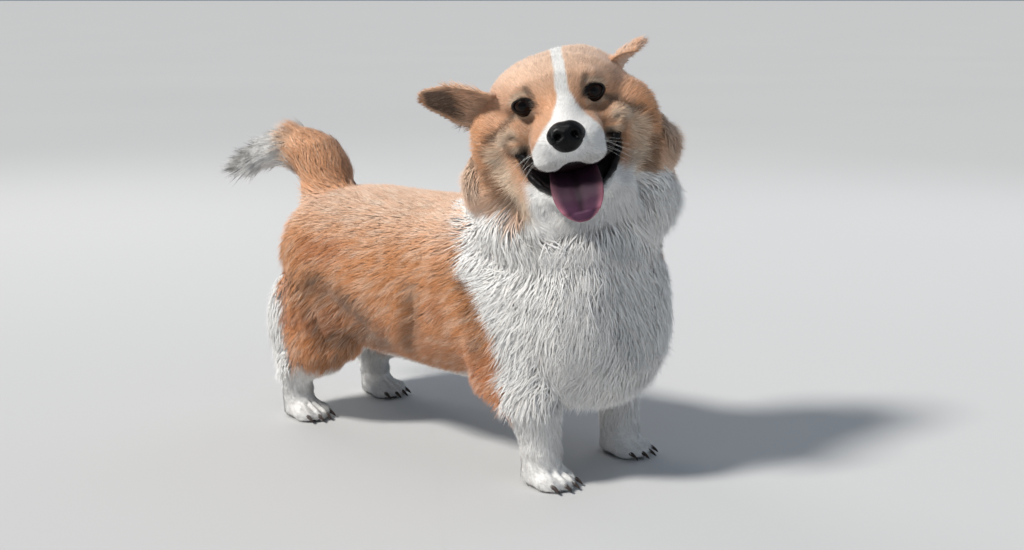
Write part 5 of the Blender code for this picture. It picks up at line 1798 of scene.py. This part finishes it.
@dataclass
class Ear:
    """A cupped leaf of an ear, with the places of its base and tip in the head's frame."""

    side: Side
    base: Triple
    tip: Triple
    cup: Triple
    width: float
    inside: Triple
    sink: float = 0.016
    straight: float = 0.4
    thick: float = 0.0022

    def axes(self) -> tuple[Vector, Vector, Vector, Vector, float]:
        """Start, direction of the length, cup direction, width direction and length."""
        base, tip, cup = Vector(self.base), Vector(self.tip), Vector(self.cup)
        along = (tip - base).normalized()
        length = (tip - base).length + self.sink
        cup = (cup - along * cup.dot(along)).normalized()
        return base - along * self.sink, along, cup, along.cross(cup), length

    def broad(self, run: float) -> float:
        """Half width of the leaf, this far along it."""
        broad = self.width * (0.92 + 0.16 * math.sin(math.pi * min(run * 1.3, 1.0)))
        taper = max(run - self.straight, 0.0) / (1 - self.straight)
        return max(broad * max(1 - taper ** 2.4, 0.0) ** 0.55, 0.003)

    def build(self, markings: Markings, finish: Finish) -> Piece:
        """The leaf in the dog's frame, tinted and unwrapped."""
        start, along, cup, across, length = self.axes()
        bm = bmesh.new()
        bmesh.ops.create_grid(bm, x_segments=22, y_segments=34, size=1.0)
        for vert in bm.verts:
            u = vert.co.x
            run = 1 - (1 - (vert.co.y + 1) / 2) ** 1.4
            hollow = 0.014 * (1 - 0.75 * run) * (1 - u * u)
            curl = 0.0016 * math.sin(u * 2.2 + run * 5.0)
            place = start + along * (length * run) + across * (self.broad(run) * u)
            vert.co = place - cup * (hollow + self.thick * 0.7 - 0.007 * (1 - run) + curl * run)
        bmesh.ops.recalc_face_normals(bm, faces=bm.faces)
        bmesh.ops.solidify(bm, geom=bm.faces[:], thickness=self.thick)
        bmesh.ops.transform(bm, matrix=HEAD_FRAME, verts=bm.verts)
        leaf = object_of(bm, "ear_leaf_" + self.side.word)
        unwrap(leaf)
        places, normals = vertex_arrays(leaf)
        # The leaf takes the ear's colours darkened by painted shade between the tufts.
        set_tint(leaf, self.colour(markings, places, normals) * EAR_PAINTED_SHADE)
        leaf.data.materials.append(finish)
        return leaf

    def shares(self, places: Array, normals: Array) -> tuple[Array, Array, Array]:
        """How far along and across the leaf each point is, and whether it lies on the cupped side.

        Args:
            places: Points of the dog's frame.
            normals: Outward directions there.

        Returns:
            Share of the length, share of the half width, and how squarely it faces the cup.
        """
        start, along, cup, across, length = self.axes()
        away = to_head(places) - np.array(start)
        run = away @ np.array(along) / length
        wide = np.array([self.broad(value) for value in np.clip(run, 0, 1)])
        facing = (normals @ HEAD_AXES) @ np.array(cup)
        return run, away @ np.array(across) / wide, facing

    def colour(self, markings: Markings, places: Array, normals: Array) -> Array:
        """Orange outside and along the rim; inside the cup, the right ear's painted shade and the left ear's
        pale skin.
        """
        run, wide, facing = self.shares(places, normals)
        tone = markings.palette.linear
        outer = np.repeat(tone("orange")[None], len(places), axis=0)
        outer = mix(outer, tone("pale_orange"), 0.25 + 0.4 * lattice_noise(places, 0.012, 31))
        rim = ramp(np.abs(wide), 0.74, 0.94)
        rim = np.maximum(rim, ramp(run, 0.92, 0.98))
        hollow = ramp(facing, 0.15, 0.45) * (1 - rim) * ramp(run, 0.42, 0.62)
        # Inside the cup the colour given for each ear: painted shade on the right ear, pale skin on the left.
        return mix(outer, srgb(*self.inside), hollow * 0.95)

    def kinds(self) -> tuple[tuple[TuftKind, int, float], ...]:
        """The short coat and the wisps at the base, each with its seed and the height of its tips."""
        word, sign = self.side.word, self.side.value
        short = TuftKind("coat_ear_" + word, Slot.EAR, lambda points: np.ones(len(points)), 7000, 0.0009,
                         length=0.0062, vary=0.12)
        wisps = TuftKind("coat_ear_wisps_" + word, Slot.EAR, self.base_share, 1500, 0.001, length=0.016,
                         scatter=0.3, clump=0.4, clump_size=8, vary=0.12)
        return (short, EAR_SEED + sign, 0.0014), (wisps, EAR_WISP_SEED + sign, 0.0055)

    def grow(self, tufts: TuftMaker, surface: Surface) -> None:
        """Grows the ear's coat on its leaf."""
        def tint(points: Array, normals: Array) -> Array:
            """The ear's own colours."""
            return self.colour(tufts.markings, points, normals)

        for kind, seed, height in self.kinds():
            def level(points: Array, high: float = height) -> Array:
                """The same height everywhere."""
                return np.full(len(points), high)

            tufts.grow(surface, kind, seed, self.lie, level, tint)

    def base_share(self, places: Array) -> Array:
        """Where the longer hair at the base of the ear grows."""
        start, along, _, _, length = self.axes()
        run = (to_head(places) - np.array(start)) @ np.array(along) / length
        return ramp(run, 0.05, 0.15) * (1 - ramp(run, 0.42, 0.66))

    def lie(self, places: Array, normals: Array) -> Array:
        """The hair runs from the base to the tip."""
        _, along, _, across, _ = self.axes()
        run, wide, _ = self.shares(places, normals)
        local = np.array(along)[None] + np.array(across)[None] * (0.35 * wide * (1 - run))[:, None]
        lie = local @ HEAD_AXES.T
        return unit(lie - normals * np.sum(lie * normals, axis=1, keepdims=True))


@dataclass
class Claws:
    """Four dark claws on each paw."""

    length: float = 0.0125
    radius: float = 0.0026

    def build(
        self, name: str, stance: float, foot_y: float, half_wide: float, finish: Finish
    ) -> Piece:
        """The claws of both feet of a pair, curving forward and down."""
        bm = bmesh.new()
        for side in Side:
            for toe in range(4):
                spread = (toe - 1.5) / 1.5
                ahead = foot_y - 0.0245 + 0.007 * spread ** 2
                root = Vector((stance + spread * half_wide * 0.7, ahead, 0.0118))
                out = Vector((0.12 * spread, -1.0, 0.0))
                stations = []
                for step in range(7):
                    share = step / 6
                    place = root + out * self.length * share + Vector((0, 0, -0.0052 * share ** 2))
                    size = self.radius * (1 - share) ** 0.6 + 0.0003
                    stations.append((tuple(sided(place, side)), size * 0.8, size, 2.0))
                add_loft(bm, stations, sides=10)
        return dressed(bm, name, finish)


class Coat:
    """Every coat piece of the dog."""

    def __init__(self, coat: CoatMap) -> None:
        """Keeps the map of the coat."""
        self.map = coat

    def zone(self, name: str, low: float = -9.0, high: float = 9.0) -> Field:
        """Share of one of the coat's zones, between two places along the dog."""
        def share(points: Array) -> Array:
            """The zone's share at each point."""
            here = (points[:, 1] >= low) & (points[:, 1] < high)
            return np.where(here, self.map.zones(points)[name], 0.0)
        return share

    def kinds(self) -> list[TuftKind]:
        """The tufts of every region of the skin."""
        zone = self.zone
        long = {"bends": True, "clump": 0.32, "clump_size": 14, "scatter": 0.2, "width": 0.0014}
        fine = {"stretch": 0.66, "clump": 0.2, "clump_size": 9, "scatter": 0.24, "width": 0.001}
        soft = {"vary": 0.05, "roundness": 0.22}
        body = {"width": 0.0013, "clump": 0.24, "clump_size": 8, "vary": 0.13, "scatter": 0.18}
        leg = {"width": 0.0012, "clump": 0.2, "clump_size": 7}
        return [
            TuftKind("coat_shoulder", Slot.TORSO, zone("torso", -9.0, 0.03), 36000, **body),
            TuftKind("coat_rump", Slot.TORSO, zone("torso", 0.03, 9.0), 40000, **body),
            TuftKind("coat_bib", Slot.TORSO, zone("bib"), 8000, **long, **soft),
            TuftKind("coat_bib_fine", Slot.TORSO, zone("bib"), 30000, **fine, **soft),
            TuftKind("coat_ruff", Slot.NECK, zone("neck"), 8000, **long, **soft),
            TuftKind("coat_ruff_fine", Slot.NECK, zone("neck"), 30000, **fine, **soft),
            TuftKind("coat_cheeks", Slot.HEAD, zone("cheek"), 6000, **long),
            TuftKind("coat_cheeks_fine", Slot.HEAD, zone("cheek"), 20000, **fine, vary=0.13),
            TuftKind("coat_head", Slot.HEAD, zone("head"), 26000, 0.001, clump=0.2, clump_size=7,
                     vary=0.12),
            TuftKind("coat_face", Slot.HEAD, zone("face"), 34000, 0.00075, lift=0.7, vary=0.12,
                     stretch=1.1),
            TuftKind("coat_jaw", Slot.JAW, zone("jaw"), 9000, 0.0009, lift=0.7),
            TuftKind("coat_tail_base", Slot.TAIL_BASE, zone("tail"), 6000, **long, vary=0.13),
            TuftKind("coat_tail_tip", Slot.TAIL_TIP, zone("tail_tip"), 10000, 0.0012, clump=0.45,
                     clump_size=16, scatter=0.2, stretch=0.95, stray=0.3, vary=0.06),
            TuftKind("coat_breeches", Slot.HINDLEG, zone("breech"), 5000, **long),
            TuftKind("coat_breeches_fine", Slot.HINDLEG, zone("breech"), 9000, **fine),
            TuftKind("coat_forelegs", Slot.FORELEG, zone("leg", -9.0, 0.03), 10000, **leg),
            TuftKind("coat_hindlegs", Slot.HINDLEG, zone("leg", 0.03, 9.0), 10000, **leg),
            TuftKind("coat_forepaws", Slot.FOREPAW, zone("paw", -9.0, 0.03), 5000, 0.0009, lift=0.6),
            TuftKind("coat_hindpaws", Slot.HINDPAW, zone("paw", 0.03, 9.0), 5000, 0.0009, lift=0.6),
        ]


@dataclass
class Studio:
    """Floor, lights and camera."""

    camera_place: Triple = (-1.16902572, -1.04676106, 0.505)
    camera_turn_deg: float = -50.0
    camera_down_deg: float = 11.113
    floor_size: float = 4000.0
    sun_spread: float = 0.2
    sky: Triple = (0.68, 0.8, 0.96)
    sky_power: float = 0.29

    def build(self, shift: Vector, finish: Finish) -> None:
        """Sets them round the dog."""
        bm = bmesh.new()
        bmesh.ops.create_grid(bm, x_segments=2, y_segments=2, size=self.floor_size)
        floor = object_of(bm, "floor", outward=False)
        floor.data.materials.append(finish)
        key = self.lamp("key", "SUN", (-1.75, 0.75, 2.1), (0.0, 0.0, 0.0), 3.8, (1.0, 0.97, 0.92))
        key.angle = self.sun_spread
        for name, place_at, target, size, power, colour in (
            ("fill", (-0.2, -2.6, 1.4), (0.0, -0.05, 0.2), 2.0, 5.0, (0.78, 0.89, 1.0)),
            ("back", (0.6, 2.2, 1.8), (0.0, 0.05, 0.2), 1.4, 14.0, (1.0, 0.98, 0.95)),
            ("far_side", (2.2, 0.0, 1.6), (0.0, 0.0, 0.2), 1.6, 7.0, (0.84, 0.92, 1.0)),
        ):
            self.lamp(name, "AREA", place_at, target, power, colour).size = size
        world = bpy.data.worlds.new("studio")
        world.use_nodes = True
        backdrop = world.node_tree.nodes["Background"]
        backdrop.inputs["Color"].default_value = (*self.sky, 1)
        backdrop.inputs["Strength"].default_value = self.sky_power
        bpy.context.scene.world = world
        view = bpy.context.scene.view_settings
        view.view_transform = "Standard"
        lens = bpy.data.cameras.new("camera")
        lens.sensor_width = SENSOR_WIDTH
        lens.lens = SENSOR_WIDTH * FOCAL_PIXELS / IMAGE_WIDTH
        lens.clip_start = 0.05
        camera = bpy.data.objects.new("camera", lens)
        bpy.context.scene.collection.objects.link(camera)
        turn, down = math.radians(self.camera_turn_deg), math.radians(self.camera_down_deg)
        back = Vector((math.sin(turn) * math.cos(down), -math.cos(turn) * math.cos(down), math.sin(down)))
        camera.location = Vector(self.camera_place) + shift
        camera.rotation_mode = "QUATERNION"
        camera.rotation_quaternion = (-back).to_track_quat("-Z", "Y")
        bpy.context.scene.camera = camera

    @staticmethod
    def lamp(
        name: str, kind: str, place: Triple, target: Triple, power: float, colour: Triple
    ) -> bpy.types.Light:
        """A sun or a square light at a place, turned to a target.

        Args:
            name: The light's name.
            kind: SUN or AREA.
            place: Where it hangs.
            target: What it is turned to.
            power: Its strength.
            colour: Its linear colour.

        Returns:
            The light's data.
        """
        light = bpy.data.lights.new(name, kind)
        light.energy = power
        light.color = colour
        made = bpy.data.objects.new(name, light)
        made.location = place
        made.rotation_mode = "QUATERNION"
        made.rotation_quaternion = (Vector(target) - Vector(place)).to_track_quat("-Z", "Y")
        bpy.context.scene.collection.objects.link(made)
        return light


EARS = (
    # The right ear's inside colour is painted shade in its cup; the left ear's is its pale inner skin.
    Ear(
        Side.RIGHT, base=(-0.078, 0.024, 0.006), tip=(-0.143, 0.048, 0.028), cup=(-0.1, -0.72, -0.69),
        width=0.026, inside=(84, 64, 50),
    ),
    Ear(
        Side.LEFT, base=(0.069, 0.038, 0.019), tip=(0.085, 0.1, 0.024), cup=(0.6, -0.16, -0.78),
        width=0.028, inside=(214, 176, 152),
    ),
)


def place(piece: Piece, shift: Vector, slot: Slot, *nodes: str) -> None:
    """Moves a piece into the frame of the solids, lets it ride there and hides the solids that it replaces.

    Args:
        piece: The piece, in the dog's frame.
        shift: The move into the frame of the solids.
        slot: Not used.
        *nodes: Solids that it replaces.
    """
    piece.data.transform(Matrix.Translation(shift))
    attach(piece, "root")
    if nodes:
        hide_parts(*nodes)
    log.info("%s: %d faces", piece.name, len(piece.data.polygons))


def main() -> None:
    """Builds the dog round its solids, then the studio."""
    logging.basicConfig(level=logging.INFO, format="%(message)s")
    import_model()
    low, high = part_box("eye_left")
    shift = (low + high) / 2 - HEAD_FRAME @ Vector((EYE_HALF_SPACING, EYE_DEPTH, 0.0))
    log.info("shift %s", tuple(round(value, 5) for value in shift))

    coat_map = CoatMap()
    markings = Markings(coat_map, Palette())
    finishes = Finishes()
    skin = Skin().build(coat_map, markings, finishes.skin)
    surface = Surface.read(skin, "OFBake")
    tufts = TuftMaker(coat_map, markings, shift, finishes.coat)
    for seed, kind in enumerate(Coat(coat_map).kinds()):
        piece = tufts.grow(surface, kind, COAT_SEED + seed)
        log.info("%s: %d faces", piece.name, len(piece.data.polygons))
    sides = [side.word for side in Side]
    place(skin, shift, Slot.TORSO, "torso", "head", "neck", "tail_base", "tail_tip", "lower_jaw",
          *[part + "_" + side for part in ("foreleg", "forepaw", "hindleg", "hindpaw") for side in sides])
    for ear in EARS:
        leaf = ear.build(markings, finishes.ear)
        ear.grow(tufts, Surface.read(leaf, "OFBake"))
        place(leaf, shift, Slot.EAR, "ear_" + ear.side.word)
    for side in Side:
        eye = Eye(side)
        place(eye.build_ball(finishes.eye), shift, Slot.EYE, "eye_" + side.word)
        place(eye.build_lids(finishes.lid), shift, Slot.HEAD)
    place(Nose().build(finishes.nose), shift, Slot.NOSE, "nose")
    mouth = Mouth()
    place(mouth.build_lip("upper_lip", UPPER_LIP, finishes.lip), shift, Slot.HEAD)
    place(mouth.build_lip("lower_lip", LOWER_LIP, finishes.lip), shift, Slot.JAW)
    place(mouth.build_lining(finishes.mouth), shift, Slot.HEAD)
    place(mouth.build_tongue(finishes.tongue), shift, Slot.TONGUE, "tongue")
    place(mouth.build_whiskers(finishes.whisker), shift, Slot.HEAD)
    claws = Claws()
    place(claws.build("claws_fore", *PAWS[0], finishes.claw), shift, Slot.FOREPAW)
    place(claws.build("claws_hind", *PAWS[1], finishes.claw), shift, Slot.HINDPAW)
    Studio().build(shift, finishes.floor)


if __name__ == "__main__":
    main()
